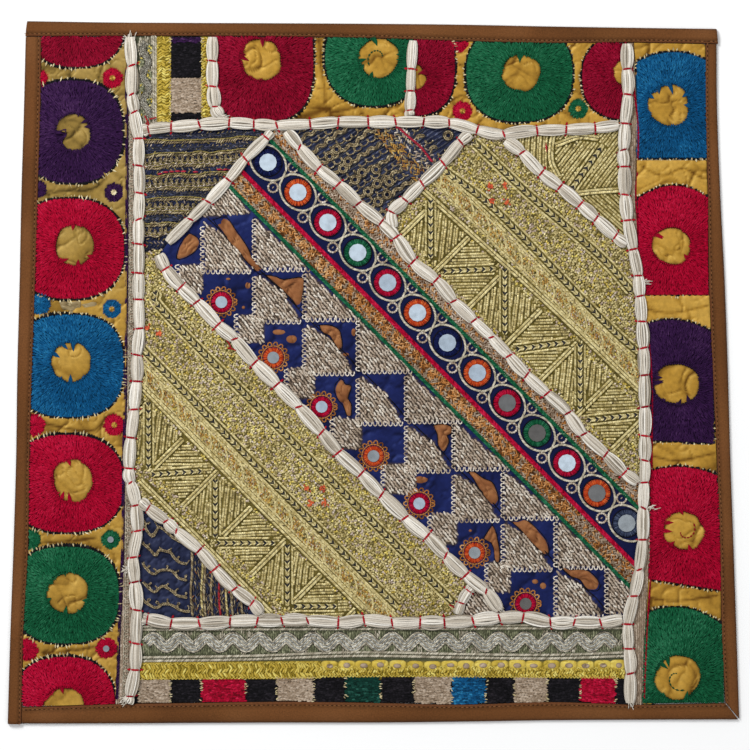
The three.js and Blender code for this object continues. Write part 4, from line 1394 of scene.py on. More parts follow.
def curls(path, radius, pitch):
    """A line that runs along a path in open loops."""
    points, angle = walk(fine(path, 0.5), pitch / CURL_STEPS)
    turn = np.arange(len(points)) / CURL_STEPS * 2 * math.pi
    way, side = unit(angle), unit(angle + math.pi / 2)
    return points + way * (np.sin(turn) * radius)[:, None] + side * (-np.cos(turn) * radius)[:, None]


def waves(path, height, pitch, steps=10):
    points, angle = walk(fine(path, 0.5), pitch / steps)
    turn = np.arange(len(points)) / steps * 2 * math.pi
    return points + unit(angle + math.pi / 2) * (np.sin(turn) * height)[:, None]


# Gold panels

NEARLY_UPRIGHT = math.pi / 2 - 0.12
NEARLY_LEVEL = 0.03
GOLD_PANELS = {
    # cells and scale band are limits of t, and the edges of the cells are values of s;
    # the other rows are lines and places in x and y
    "panel_gold_right": {
        "cells": (65, 94), "edges": (-44, -16, 12, 42, 70, 99, 127),
        "chains": [[(57.4, 130.8), (87.8, 101.8), (129, 66), (147, 46)],
                   [(39.4, 115.6), (71.2, 90.7), (130, 30), (152, 10)]],
        "frames": [[(29, 103), (92, 46), (152, -11)]],
        "scale_band": (101, 109),
        "cell_chains": [[(32.5, 97), (32.5, 64)], [(40.8, 57.6), (69.8, 59)], [(74.7, 58), (74.7, 21)],
                        [(82.3, 13.4), (112.7, 17.5)], [(117.5, 15), (117.5, -21)],
                        [(123, -27), (150, -24)]],
        "dots": [(66.4, 106.2), (74.4, 105.8), (67.1, 97.5), (75.8, 97.1)]},
    "panel_gold_left": {
        "cells": (-130, -102), "edges": (-78.5, -50, -23, 5, 32, 60, 88),
        "chains": [[(-124, 45), (-118, 33), (-50, -35.5), (50, -135.5)],
                   [(-131, 13), (-60, -60), (14, -134)]],
        "frames": [[(-132, -8), (-70, -71), (-6, -135)], [(-132, -62), (-96, -98), (-58, -137)]],
        "scale_band": (-97, -89),
        "cell_chains": [[(-128, -18), (-128, -55)], [(-125, -58), (-97, -56)], [(-90, -62), (-90, -95)],
                        [(-88, -97), (-57, -97)], [(-49, -99), (-49, -134)], [(-44, -133), (-20, -133)]],
        "dots": [(-38, -66), (-29, -66), (-36, -74.6), (-28, -74), (-122, 22), (-129, 25)]},
}


def gold_panel(node, facts):
    draw = dice(node)
    stitching = Stitching(outline_of(node), seeds=True)
    low, high = facts["cells"]
    edges = facts["edges"]
    speckle(stitching, stitching.limits, draw)
    for number, (start, end) in enumerate(zip(edges, edges[1:])):
        box = diagonal_box(low + 1.5, high - 1.5, start + 2, end - 2)
        cover(stitching, box)
        stripes(stitching, box, NEARLY_UPRIGHT if number % 2 == 0 else NEARLY_LEVEL, draw)
    for place in edges:
        path = [diagonal(low, place), diagonal(high, place)]
        gold_pair(stitching, path, path, 4.6, draw, 0.72)
    for path in facts["frames"]:
        gold_pair(stitching, path, smooth(path, 8), 4.8, draw)
    for path in facts["chains"] + facts["cell_chains"]:
        cover_line(stitching, path, 7)
        chain(stitching, smooth(path, 8), draw)
    scales(stitching, facts["scale_band"], draw)
    for dot in facts["dots"]:
        points = np.array(dot) + draw.normal(0, 0.75, (16, 2))
        stitching.lay(points, DOWN_RIGHT + draw.choice([0.75, -0.75], 16), 1.6, 0.9, 0.6,
                      shades("orange", 16, draw, 0.6), SHEET_TOP + 0.6)
    return stitching.build("stitches_" + node, METAL_THREAD, "gold_embroidery")


def cover(stitching, outline):
    """Takes away the stitches laid so far inside an outline, where others follow."""
    for number, (points, colours) in enumerate(zip(stitching.points, stitching.colours)):
        keep = ~inside(outline, points[:, :, :2].mean(1))
        stitching.points[number] = points[keep]
        stitching.colours[number] = colours[keep]


def cover_line(stitching, path, width):
    p = np.asarray(path, float)
    band = np.vstack([offset(p, width / 2), offset(p, -width / 2)[::-1]])
    cover(stitching, band)


def gold_pair(stitching, path, line, cleared, draw, middle=0.75):
    """Two couched gold cords along a line, in a band cleared along its path."""
    cover_line(stitching, path, cleared)
    couched(stitching, line, 1.5, "gold", draw, 2, 1.7, 0.5, middle=middle)


SCALE_PITCH = 13


def scales(stitching, band, draw):
    """Slanting leaf shapes of ochre between pale cords."""
    low, high = band
    for start in np.arange(-130, 130, SCALE_PITCH):
        leaf = diagonal_box(low + 0.5, high - 0.5, start, start + SCALE_PITCH - 1.5)
        points = rows_in(leaf, DOWN_RIGHT + 0.3, 1.3, 1.6, draw, 0.1)[0]
        ochre = draw.uniform(size=len(points)) < 0.5
        for chosen, colour in ((points[ochre], "ochre"), (points[~ochre], "gold")):
            stitching.lay(chosen, DOWN_RIGHT - 0.6, 1.9, 1.1, 0.8, shades(colour, len(chosen), draw, 0.6),
                          SHEET_TOP + 0.25)
        edge = [diagonal(low, start + 4), diagonal((low + high) / 2, start + 1.5), diagonal(high, start - 6)]
        couched(stitching, smooth(edge, 6), 1.2, "gold", draw, 1, lift=0.5, middle=0.8)
    for place in band:
        couched(stitching, [diagonal(place, -150), diagonal(place, 150)], 1.3, "gold", draw, 2, 1.5, 0.35,
                middle=0.7)


for gold_node, gold_facts in GOLD_PANELS.items():
    gold_panel(gold_node, gold_facts)


def gold_corner():
    draw = dice("gold corner")
    stitching = Stitching(outline_of("panel_gold_corner"), seeds=True)
    limits = stitching.limits
    stripes(stitching, limits, math.radians(52), draw)
    lower = [(100, 100), (146, 104), (146, 70), (110, 98)]
    cover(stitching, lower)
    stripes(stitching, lower, math.radians(-42), draw)
    left = [(70, 140), (70, 128), (84, 122), (101, 108), (100, 140)]
    cover(stitching, left)
    stripes(stitching, left, math.radians(88), draw)
    for path in ([(105, 112), (101, 121), (102, 134), (106, 138)], [(104, 129.5), (117, 134), (129, 133)],
                 [(113, 101.5), (126, 103), (141, 104)]):
        gold_pair(stitching, path, smooth(path, 6), 4.4, draw)
    path = [(111, 102), (131, 130)]
    cover_line(stitching, path, 7)
    chain(stitching, path, draw)
    stitching.add([(98, 131)], [(98.6, 125)], 0.9, 0.5, tone("red", 0.7), SHEET_TOP + 0.7)
    stitching.build("stitches_gold_corner", METAL_THREAD, "gold_embroidery")


gold_corner()


# Mirror and check panel

COLUMN_EDGES = (-97.5, -68, -39.5, -9, 18.5, 45.5, 73.5, 103.5, 132.5)
ROW_TOPS = (87.5, 58, 29.5, 0, -28.5, -55.5, -83.5, -111.5, -138)
SILVER_SLANT = math.radians(-52)
LOWER_LINE = 24
GREEN_LINE = 73.5
CRIMSON_LINE = 39.5
STRIP_ENDS = (-110, 170)
STRIP_STITCH = {"pitch": 1.5, "row_pitch": 1.15, "length": 2.3, "width": 1.05}
GOLD_STRIPS = {
    # lowest and highest x + y of each worn gold strip, and its threads with their shares
    "lower": (LOWER_LINE + 0.8, LOWER_LINE + 8, (("orangegold", 0.35), ("beige", 0.5), ("brown", 0.15))),
    "middle": (LOWER_LINE + 7, CRIMSON_LINE - 0.8, (("beige", 0.6), ("orangegold", 0.25), ("brown", 0.15))),
    "upper": (GREEN_LINE + 0.8, GREEN_LINE + 14, (("beige", 0.45), ("pinkish", 0.3), ("orangegold", 0.25))),
}
TUFT_PITCH = 7.5
TUFT_THREADS = (("orangegold", 0.95), ("brown", 0.05))
BAND_MIRROR = {"first": (-60, 119.5), "step": (17, -17.1)}
BAND_RINGS = ("navy", "orange", "crimson", "green", "crimson", "orange", "navy", "orange", "crimson",
              "green", "crimson", "orange", "slate")
FLOWERS = [
    # centre of the mirror and the colour of its ring
    ((-86.5, 40), "crimson"), ((-57, 8.5), "orange"), ((-29.5, -19.5), "crimson"), ((0, -47.5), "orange"),
    ((26, -74.5), "crimson"), ((57.5, -102.5), "orange"), ((86.5, -131.5), "crimson"),
]
SILVER_SQUARES = [
    # left, bottom, right and top of the patches along the lower cord
    (-112, 45, -97, 61), (-78.5, 16.9, -62.6, 32.5), (-50, -14.5, -33.3, 2.5), (-24, -43, -7.1, -25.5),
    (5, -69, 24.2, -52), (31.5, -97.6, 47.5, -80), (64, -125, 77.8, -107.5),
]
TAN_PATCHES = [
    [(-91, 87), (-84, 88.5), (-79, 82), (-74, 75), (-71, 70), (-68, 63), (-62, 57.5), (-65, 56), (-69, 60),
     (-73, 64), (-77, 69.5), (-82, 74), (-86, 80), (-90, 85)],
    [(-61.5, 55.5), (-56, 54.8), (-51, 53), (-39.5, 54), (-40, 46), (-42, 36.5), (-46, 41), (-51.5, 46.5),
     (-57, 51.5)],
    [(-104.6, 79.5), (-99, 75.5), (-100, 70.5), (-106.5, 65.5), (-112, 65), (-110, 73)],
    [(-31, 27), (-25, 27), (-19.7, 24.5), (-18.2, 20), (-17.7, 15), (-19.2, 12.5), (-21.7, 15.5), (-25, 21),
     (-29, 23)],
    [(-19, -3.5), (-17.2, -4.3), (-16, -6.5), (-12.6, -8), (-14.5, -14.5), (-12.6, -18), (-12.8, -24.7),
     (-15, -24.7), (-17.2, -19), (-20.2, -15.5), (-22.3, -10.4), (-21.7, -6.8)],
    [(34.2, -30), (39.8, -29.2), (44.4, -31), (44.4, -34.5), (42, -36), (43, -39.5), (39.8, -45.5),
     (36.8, -41.5), (36.3, -35.5)],
    [(53.9, -56.7), (56.7, -56.1), (62.4, -60.1), (67.5, -62.4), (70.4, -68.1), (71, -73.8), (68.7, -76.7),
     (64.7, -72.7), (61.8, -68.7), (59.6, -65.3), (56.7, -60.1)],
    [(67.5, -86.4), (69.6, -90.3), (70.7, -95.5), (71.9, -102.3), (71.5, -108), (69.3, -107.4),
     (68.5, -100.6), (66.2, -96), (62.8, -94.6), (65, -90.3)],
    [(77.8, -84.4), (81.8, -84.3), (85.8, -83.3), (90.3, -86.4), (95.5, -91.5), (99.2, -97.2),
     (99.7, -102.3), (97.4, -103.8), (93.8, -100.6), (89.2, -96), (84.6, -90.9), (80.7, -86.9)],
    [(106, -109.5), (110, -111.8), (121.7, -112.5), (128.5, -119.5), (127.5, -124), (121.7, -123.4),
     (117.5, -118), (111, -115.4)],
]
TAN_SPOTS = [
    # centre, half sizes
    ((-53.7, 23), (4.2, 1.7)), ((-46.6, 19), (3.7, 2.6)), ((-71.5, 49.6), (1.6, 2.1)),
    ((-82.7, 53.2), (1.4, 0.8)), ((-74, 37), (1, 1)), ((-11.3, 23), (1.5, 2.5)), ((-16, 10.2), (2.2, 1.2)),
    ((27, -61), (4, 2.4)), ((92, -119), (2, 1.5)), ((96.5, -121.5), (2, 2)), ((55, -90), (1.2, 1)),
]


def silver_patch(stitching, outline, draw, loop_sides=()):
    points, row = rows_in(outline, SILVER_SLANT, 1.7, 2.0, draw, 0.16)
    cast = 0.12 * blend_noise(points, 15, 51)
    mix = draw.normal(0.62, 0.24, len(points)) + cast
    pinkish = draw.uniform(size=len(points)) < 0.3
    colours = np.where(pinkish[:, None], tone("pinkish", mix), tone("silver", mix))
    lean = np.where(row % 2 == 0, 0.25, -0.25) + draw.normal(0, 0.2, len(points))
    stitching.lay(points, SILVER_SLANT + lean, 2.5, 1.45, draw.uniform(0.7, 1.1, len(points)), colours,
                  SHEET_TOP + 0.2)
    for side in loop_sides:
        loops_along(stitching, side, "silver", draw)


def dark_line(stitching, path, draw, width=0.8):
    points, angle = walk(path, 1.8)
    stitching.lay(points, angle, 2.2, width, 0.3, shades("black", len(points), draw, 0.4), SHEET_TOP + 0.2)


def dome(outline, height, colour, draw, rings=10, base=SHEET_TOP - 0.2):
    """A low soft mound on a closed outline: points, heights and colours for a joined mesh."""
    outline = smooth(outline, 4, closed=True) if len(outline) < 20 else np.asarray(outline, float)
    flat, body = mound(outline, rings)
    seed = int(draw.integers(1000))
    high, light = folds_and_painted_light(flat, 0.8, seed)
    z = base + body * height * (0.4 + 0.9 * high)
    # painted light and shade on the folds, and painted shade darkening the mound towards its outline
    colours = tone(colour, light + 0.05) * (0.6 + 0.4 * np.minimum(body * 2, 1))[:, None]
    return flat, z, colours, rings


def band_mirrors():
    first, step = np.array(BAND_MIRROR["first"]), np.array(BAND_MIRROR["step"])
    return first + np.arange(len(BAND_RINGS))[:, None] * step


def mirror_ring(stitching, centre, colour, draw):
    dark = colour in ("navy", "slate")
    ring(stitching, centre, 4.6, 7.7, colour, draw, 0.35 if dark else 0.6)
    dark_line(stitching, circle(centre, 8.1), draw, 0.7)


def flower(stitching, centre, colour, draw):
    ring(stitching, centre, 2.9, 5.9, colour, draw)
    path = circle(centre, 6.6)
    stitching.along(path, 0.8, 0.6, tone("orangegold", 0.5), SHEET_TOP + 0.6)
    loops_along(stitching, circle(centre, 6.9, 40)[::-1], "orangegold", draw, 3.0, 2.0, 1.0, 0.35)


def figure_eight(stitching, draw):
    """Two pale cords that cross between the mirrors and part round each of them."""
    mirrors = band_mirrors()
    along = np.linspace(-0.5, len(mirrors) - 0.5, len(mirrors) * 16 + 1)
    middle = mirrors[0] + along[:, None] * np.array(BAND_MIRROR["step"])
    turn = np.sin((along + 0.5) * math.pi)
    reach = 9.1 * np.sign(turn) * np.abs(turn) ** 0.5
    up = np.array([1, 1]) / ROOT2
    for sign in (1, -1):
        path = middle + (sign * reach)[:, None] * up
        couched(stitching, path, 1.25, "lace", draw, lift=0.5, middle=0.72, spread=0.2, slant=0.5)
    for place in mirrors[:-1] + np.array(BAND_MIRROR["step"]) / 2:
        for sign in (1, -1):
            centre = place + up * sign * 8
            path = circle(centre, 2.8, 14)
            stitching.along(path, 1.4, 0.9, shades("silver", 14, draw, 0.62, 0.18), SHEET_TOP + 0.3)
            stitching.lay(centre[None], 0.8, 1.4, 0.8, 0.5, tone("silver", 0.4), SHEET_TOP + 0.1)


def straight(total):
    """A path along x + y = total."""
    left, right = STRIP_ENDS
    return fine([(left, total - left), (right, total - right)], 1.5)


def silver_shapes():
    """The silver patches of the check panel, each with the sides that end in loops."""
    shapes = [([(-98, 89), (-69, 90), (-80, 103), (-87, 108), (-98, 98)], [])]
    for row, (top, bottom) in enumerate(zip(ROW_TOPS, ROW_TOPS[1:])):
        x0, x1 = COLUMN_EDGES[row], COLUMN_EDGES[row + 1]
        bulge = ((x0 + x1) / 2 + 2.4, (top + bottom) / 2 + 2.4)
        shapes.append(([(x0 + 1.2, top - 2), (x0 + 1.2, bottom), (x1 - 2.2, bottom), bulge],
                       [[(x0 + 1.4, bottom), (x0 + 1.4, top - 3)],
                        [(x1 - 2.4, bottom + 0.5), (x0, bottom + 0.5)]]))
        head = min(top, LOWER_LINE - x1 - 1)
        foot = LOWER_LINE - bottom - 1.5
        shapes.append(([(x1 + 1.2, head), (x1 + 1.2, bottom + 1.4), (foot - 1, bottom + 1.4)],
                       [[(x1 + 1.4, bottom + 1.4), (x1 + 1.4, head - 1)],
                        [(foot - 1, bottom + 1.7), (x1 + 1.2, bottom + 1.7)]]))
    for left, bottom, right, top in SILVER_SQUARES:
        box = box_outline(left + 1.4, bottom, right, top)
        shapes.append((box, [[(left + 1.6, bottom), (left + 1.6, top)]]))
    return shapes


def check_ground(shapes):
    """Navy satin, dark under the silver stitches and brown under the gold strips."""
    def colour(points):
        # painted light and shade of the folds as the tone of the navy satin, with a little random tone
        result = tone("navy", 1.2 * folds_and_painted_light(points, 1.1, 70)[1] - 0.2 + 0.1 * blend_noise(points, 14, 72))
        for outline, sides in shapes:
            under = inside(outline, points)
            result[under] = tone("taupe", np.full(under.sum(), 0.3))
        total = points.sum(1)
        band = (total > CRIMSON_LINE) & (total < GREEN_LINE)
        result[band] = tone("navy", np.full(band.sum(), 0.12))
        strip = ((total > LOWER_LINE) & (total < CRIMSON_LINE)) | (total > GREEN_LINE)
        result[strip] = tone("brown", np.full(strip.sum(), 0.15))
        return result
    return colour


def check_height(points):
    return SHEET_TOP - 0.35 + 0.5 * folds(points, 1.1, 70)


def mirror_checks():
    draw = dice("mirror checks")
    limits = outline_of("panel_mirror_checks")
    shapes = silver_shapes()
    make_sheet("panel_mirror_checks", CLOTH, check_ground(shapes), check_height, 1.6)
    silver = Stitching(limits)
    silk = Stitching(limits)
    domes = [dome(points, 1.1, "tan", draw) for points in TAN_PATCHES]
    domes += [dome(superellipse(centre, half, 2, 16), 0.6, "tan", draw, 4) for centre, half in TAN_SPOTS]
    for points in TAN_PATCHES:
        dark_line(silk, smooth(points + points[:1], 3), draw, 0.6)
    for outline, sides in shapes:
        silver_patch(silver, outline, draw, sides)
    for points in TAN_PATCHES:
        cover(silver, smooth(points, 3, closed=True))
    for row, (top, bottom) in enumerate(zip(ROW_TOPS, ROW_TOPS[1:])):
        x0, x1 = COLUMN_EDGES[row], COLUMN_EDGES[row + 1]
        dark_line(silk, [(x0 + 3.5, top), (x1 - 6, bottom + 10), (x1 + 1, bottom + 1.5)], draw)
        dark_line(silk, [(x1, top), (x1, bottom)], draw)
    for number, (centre, colour) in enumerate(zip(band_mirrors(), BAND_RINGS)):
        mirror_ring(silk, centre, colour, draw)
    for centre, colour in FLOWERS:
        flower(silk, np.array(centre), colour, draw)
    figure_eight(silk, draw)
    gold_strip(silk, draw, *GOLD_STRIPS["lower"])
    gold_strip(silk, draw, *GOLD_STRIPS["middle"])
    tufts(silk, draw)
    gold_strip(silk, draw, *GOLD_STRIPS["upper"])
    couched(silk, straight(GREEN_LINE), 1.2, "green", draw, 2, 0.9, 0.7, middle=0.5)
    couched(silk, straight(LOWER_LINE), 1.2, "green", draw, 2, 0.9, 0.7, middle=0.5)
    couched(silk, straight(CRIMSON_LINE), 1.4, "crimson", draw, 2, 1.1, 0.7, middle=0.6)
    silver.build("silver_stitches", METAL_THREAD, "navy_embroidery")
    silk.build("mirror_stitches", SILK, "navy_embroidery")
    make_mounds("cloth_tan_patches", domes)


def gold_strip(stitching, draw, low, high, kinds):
    left, right = STRIP_ENDS
    box = [(left, low - left), (right, low - right), (right, high - right), (left, high - left)]
    speckle(stitching, box, draw, kinds, middle=0.52, **STRIP_STITCH)


def tufts(stitching, draw):
    """Tufts of orange gold thread across the middle strip."""
    for s in np.arange(-150, 130, TUFT_PITCH):
        low = LOWER_LINE / ROOT2 + draw.uniform(2.5, 5)
        tuft = diagonal_box(low, CRIMSON_LINE / ROOT2 - draw.uniform(0.8, 3), s, s + draw.uniform(4, 7))
        cover(stitching, tuft)
        speckle(stitching, tuft, draw, TUFT_THREADS, middle=0.55, **STRIP_STITCH)


mirror_checks()

TORN_PATCHES = [
    ("oldmustard", [(-155.9, 116), (-152, 113.5), (-148.5, 115.5), (-150.5, 112), (-153, 108),
                    (-153, 111.5)]),
    ("oldgold", [(-180, 39.5), (-176, 41), (-168, 41.4), (-157, 40.6), (-155, 37), (-160, 34.6),
                 (-168, 33.8), (-176, 35.4)]),
]
torn = [dome(points, 1.0, colour, dice("torn")) for colour, points in TORN_PATCHES]
make_mounds("cloth_torn_patches", torn)


# Scrollwork panels

def flat_rows(stitching, outline, angle, colour, draw, pitch, length, width, middle):
    """Even rows of flat stitches inside an outline."""
    points = rows_in(outline, angle, pitch, length * 0.85, draw, 0.1)[0]
    mix = draw.normal(middle, 0.2, len(points)) + 0.15 * blend_noise(points, 9, 61)
    stitching.lay(points, angle + draw.normal(0, 0.08, len(points)), length, width, 0.5, tone(colour, mix))


SCROLL_ROWS = [
    # kind, height of the row's middle at the left, rise per mm to the right
    ("navy", 134.5, 0.02), ("strands", 131.3, 0.02), ("navy", 127.2, 0.03), ("strands", 123.5, 0.03),
    ("loops", 120, 0.03), ("strands", 116.4, 0.03), ("red", 113.4, 0.02), ("strands", 110.8, 0.02),
    ("loops", 107.3, 0.01), ("strands", 103.8, 0), ("navy", 100.6, 0), ("strands", 97.6, 0),
    ("loops", 94, -0.01), ("strands", 90.2, 0), ("navy", 87, 0), ("strands", 83.6, 0), ("loops", 80, 0),
]


SCROLL_GROUND = (("oldgold", 0.35), ("dusk", 0.4), ("silver", 0.1), ("olive", 0.15))


def scroll_top_left():
    draw = dice("scroll top left")
    stitching = Stitching(outline_of("panel_scroll_top_left"))
    speckle(stitching, stitching.limits, draw, SCROLL_GROUND, 0.0, 2.2, 1.9, 1.9, 0.9, 0.36)
    for kind, level, rise in SCROLL_ROWS:
        path = fine([(-135, level), (-45, level + 90 * rise)], 1.5)
        path[:, 1] += 0.8 * blend_noise(path, 6, 97) + 0.9 * blend_noise(path, 17, 98)
        if kind == "navy":
            points, angle = walk(path, 2.0)
            for side in (-0.9, 0.0, 0.9):
                stitching.lay(points + (0, side), angle + draw.normal(0, 0.2, len(points)), 2.6, 1.0, 0.6,
                              shades("dusk", len(points), draw, 0.24, 0.3), SHEET_TOP + 0.2)
        if kind == "strands":
            points, angle = walk(path, 1.4)
            stitching.lay(points, angle + 0.6 + draw.normal(0, 0.3, len(points)), 2.8, 0.9, 0.8,
                          shades("oldgold", len(points), draw, 0.5, 0.3), SHEET_TOP + 0.2)
            couched(stitching, offset(path, 1.3), 0.8, "olive", draw, lift=0.2, middle=0.6)
        if kind == "loops":
            for side, colour in ((0.9, "oldgold"), (0.0, "olive"), (-0.9, "silver")):
                line = curls(offset(path, side), 1.2, 3.1)
                line = line + draw.normal(0, 0.16, line.shape)
                stitching.along(line, 0.75, 0.6, shades(colour, len(line) - 1, draw, 0.42, 0.3),
                              SHEET_TOP + 0.5)
        if kind == "red":
            points, angle = walk(path, 3.4)
            points = points[draw.uniform(size=len(points)) < 0.7]
            stitching.lay(points, draw.normal(0, 0.1, len(points)), 2.9, 1.2, 0.6,
                          shades("crimson", len(points), draw, 0.45), SHEET_TOP + 0.6)
    path = circle((-124, 81), 4)
    stitching.along(path, 1.0, 0.9, shades("oldgold", 24, draw, 0.6), SHEET_TOP + 0.7)
    stitching.build("stitches_scroll_top_left", METAL_THREAD, "navy_embroidery")


SCROLL_ROW = {"first": (-10.5, 109.7), "step": (6.6, -6.4), "angle": math.radians(33)}
SCROLL_RINGS = (
    (-17.4, 116), (-14.5, 120), (-10.5, 109.7), (-6.6, 113.7), (-3.1, 102.9), (2, 107.4), (2.6, 97.2),
    (7.7, 101.2), (5.4, 89.8), (12, 95.5), (-25, 123), (-21, 127), (42.5, 134.8), (1.5, 115.5), (9, 108.5),
)
WORN_BANDS = [
    # where the middle panel is worn to a dense fuzz, and its threads with their shares
    ([(-6, 144), (4, 144), (32, 112), (25, 106)],
     (("ochre", 0.3), ("oldgold", 0.4), ("dusk", 0.2), ("brown", 0.1))),
    ([(4, 144), (13, 144), (40, 118), (32, 112)], (("silver", 0.4), ("dusk", 0.4), ("oldgold", 0.2))),
]


def scroll_top_mid():
    draw = dice("scroll top mid")
    stitching = Stitching(outline_of("panel_scroll_top_mid"))
    angle = SCROLL_ROW["angle"]
    flat_rows(stitching, stitching.limits, angle, "dusk", draw, 2.4, 3.4, 1.3, 0.4)
    for number in range(-10, 10):
        start = np.array(SCROLL_ROW["first"]) + number / 2 * np.array(SCROLL_ROW["step"])
        path = fine([start - 22 * unit(angle)[0], start + 50 * unit(angle)[0]], 1.5)
        path = wander(path, 1.1, 8, 94)
        if number % 2 == 0:
            couched(stitching, waves(path, 0.8, 6.5), 1.05, "oldgold", draw, 2, 1.15, 0.4, middle=0.5,
                    spread=0.3)
            for side in (-1.7, 1.7):
                dark_line(stitching, offset(path, side), draw, 0.7)
        else:
            line = curls(path, 1.35, 4.6)
            stitching.along(line, 0.95, 0.7, shades("oldgold", len(line) - 1, draw, 0.5, 0.3),
                          SHEET_TOP + 0.4)
    for centre in SCROLL_RINGS:
        cover(stitching, circle(centre, 3.1, 14))
        dark_line(stitching, circle(centre, 3.1), draw, 0.7)
        for radius in (2.5, 1.6):
            path = circle(centre, radius, 14)
            stitching.along(path, 1.05, 0.9, shades("oldgold", 14, draw, 0.62, 0.25), SHEET_TOP + 0.6)
    for outline, kinds in WORN_BANDS:
        cover(stitching, outline)
        speckle(stitching, outline, draw, kinds, DOWN_RIGHT, 1.5, 1.4, 2.3, 1.15, 0.5)
    path = smooth([(12.6, 141), (20, 134), (27, 128), (34, 119)], 6)
    couched(stitching, path, 1.3, "crimson", draw, 1, lift=0.9, middle=0.5)
    stitching.build("stitches_scroll_top_mid", METAL_THREAD, "navy_embroidery")


SCROLL_LINES = [
    # waving cord lines of the lower left panel, from the left
    [(-131, -84), (-128, -91), (-125, -93), (-122, -88.5), (-117, -91), (-113, -95), (-106, -98)],
    [(-131, -97), (-127, -101.5), (-124, -104), (-121, -101), (-116, -102.5), (-112, -107), (-105, -109)],
    [(-131, -108), (-128, -113), (-125, -114.5), (-121, -112.5), (-115, -113), (-111, -117), (-105, -118)],
    [(-131, -119), (-127, -123.5), (-124, -124.5), (-120, -122), (-115, -124), (-111, -127), (-105, -128)],
    [(-131, -129), (-127, -132.5), (-123, -133.5), (-119, -131.5), (-114, -133), (-108, -136), (-104, -136)],
]
SCROLL_UPRIGHTS = [
    # x, colour, width of the upright lines at the right of the lower left panel
    (-104, "oldgold", 1.2), (-98, "gold", 1.2), (-96.5, "oldgold", 1.1), (-92.5, "oldgold", 1.1),
    (-88, "red", 1.1), (-84, "gold", 1.1), (-81, "oldgold", 1.1), (-75.5, "oldgold", 1.1),
]


WORN_CORNER = [(-103, -100), (-76, -120), (-70, -140), (-103, -140)]
WORN_THREADS = {"dusk": 0.35, "oldgold": 0.25, "taupe": 0.3, "brown": 0.1}


def scroll_lower_left():
    draw = dice("scroll lower left")
    stitching = Stitching(outline_of("panel_scroll_lower_left"))
    for line in SCROLL_LINES:
        path = wander(smooth(line, 8), 0.5, 3, 92)
        couched(stitching, path, 0.7, "oldgold", draw, 2, 0.8, 0.6, middle=0.55, spread=0.3)
        loops = curls(offset(path, 1.4), draw.uniform(1.3, 1.8), 6.2) + draw.normal(0, 0.15, 2)
        loops = wander(loops, 0.6, 2.5, 92)
        stitching.along(loops, 0.8, 0.7, shades("oldgold", len(loops) - 1, draw, 0.5, 0.3),
                      SHEET_TOP + 0.7)
    points = rows_in(WORN_CORNER, math.pi / 2, 1.4, 1.9, draw, 0.25)[0]
    pick = draw.choice(len(WORN_THREADS), len(points), p=list(WORN_THREADS.values()))
    for number, name in enumerate(WORN_THREADS):
        chosen = points[pick == number]
        stitching.lay(chosen, math.pi / 2 + draw.normal(0, 0.4, len(chosen)), 2.4, 0.9, 0.7,
                      shades(name, len(chosen), draw, 0.5, 0.25), SHEET_TOP + 0.2)
    for x, colour, width in SCROLL_UPRIGHTS:
        path = smooth([(x, -85), (x + 0.8, -110), (x, -125), (x + 1, -139)], 8)
        couched(stitching, path, width, colour, draw, 1, lift=0.5, middle=0.5, spread=0.3)
    stitching.build("stitches_scroll_lower_left", METAL_THREAD, "navy_embroidery")


def silver_corner():
    draw = dice("silver corner")
    stitching = Stitching(outline_of("panel_silver_corner"))
    silver_patch(stitching, stitching.limits, draw)
    stitching.build("stitches_silver_corner", METAL_THREAD, "silver_embroidery")


scroll_top_left()
scroll_top_mid()
scroll_lower_left()
silver_corner()


# Bottom band and top checks

BOTTOM_CHECKS = [
    # colour and right-hand edge of each check, from CHECKS_LEFT
    ("beige", -115.5), ("black", -98), ("crimson", -72.5), ("black", -55), ("beige", -34), ("black", -16),
    ("darkgreen", 4), ("black", 23), ("beige", 44.5), ("blue", 64), ("black", 80), ("beige", 99),
    ("black", 117.5), ("crimson", 138), ("black", 146),
]
CHECKS_LEFT = -134
CHECKS_FOOT = -189
CHECKS_HEAD = -173.0
LOW_CHECKS = {"right": -50, "head": -174.6}
CHECK_MIDDLES = {"beige": 0.66}
PILLOWS = {"x": (-25, 143, 9.7), "y": -166.6}
TOP_CHECKS = [("purple", 191, 187.5), ("black", 187.5, 168), ("beige", 168, 147.5), ("black", 147.5, 141)]


YELLOW_PITCH = 1.45


def yellow_band(stitching, path, width, draw):
    """Ragged rows of slanting yellow stitches, with small loops along both edges."""
    for row, lean in ((-0.3, 0.5), (0.0, -0.55), (0.3, 0.5)):
        points, angle = walk(path, YELLOW_PITCH, 0.4 + row)
        points = points + unit(angle + math.pi / 2) * row * width + draw.normal(0, 0.25, points.shape)
        mix = draw.normal(0.5, 0.24, len(points)) + 0.2 * blend_noise(points, 5, 83)
        turned = angle + math.pi / 2 + lean + draw.normal(0, 0.2, len(points))
        stitching.lay(points, turned, width * draw.uniform(0.36, 0.48, len(points)), 1.35,
                      draw.uniform(0.6, 1.2, len(points)), tone("yellow", mix), SHEET_TOP + 0.15)
    for side in (1, -1):
        edge = offset(fine(path), side * width * 0.42)
        loops_along(stitching, edge if side > 0 else edge[::-1], "yellow", draw, 2.0, 1.0, 0.8, 0.6)


def lace_field(stitching, outline, draw):
    """Fine upright stitches of sage thread with silvery patches."""
    points = rows_in(outline, math.pi / 2, 1.0, 1.7, draw, 0.1)[0]
    green = blend_noise(points, 4, 81) > -0.4
    mix = draw.normal(0.5, 0.2, len(points))
    colours = np.where(green[:, None], tone("sage", mix), tone("lace", mix))
    stitching.lay(points, math.pi / 2 + draw.normal(0, 0.15, len(points)), 2.0, 0.9, 0.55, colours)


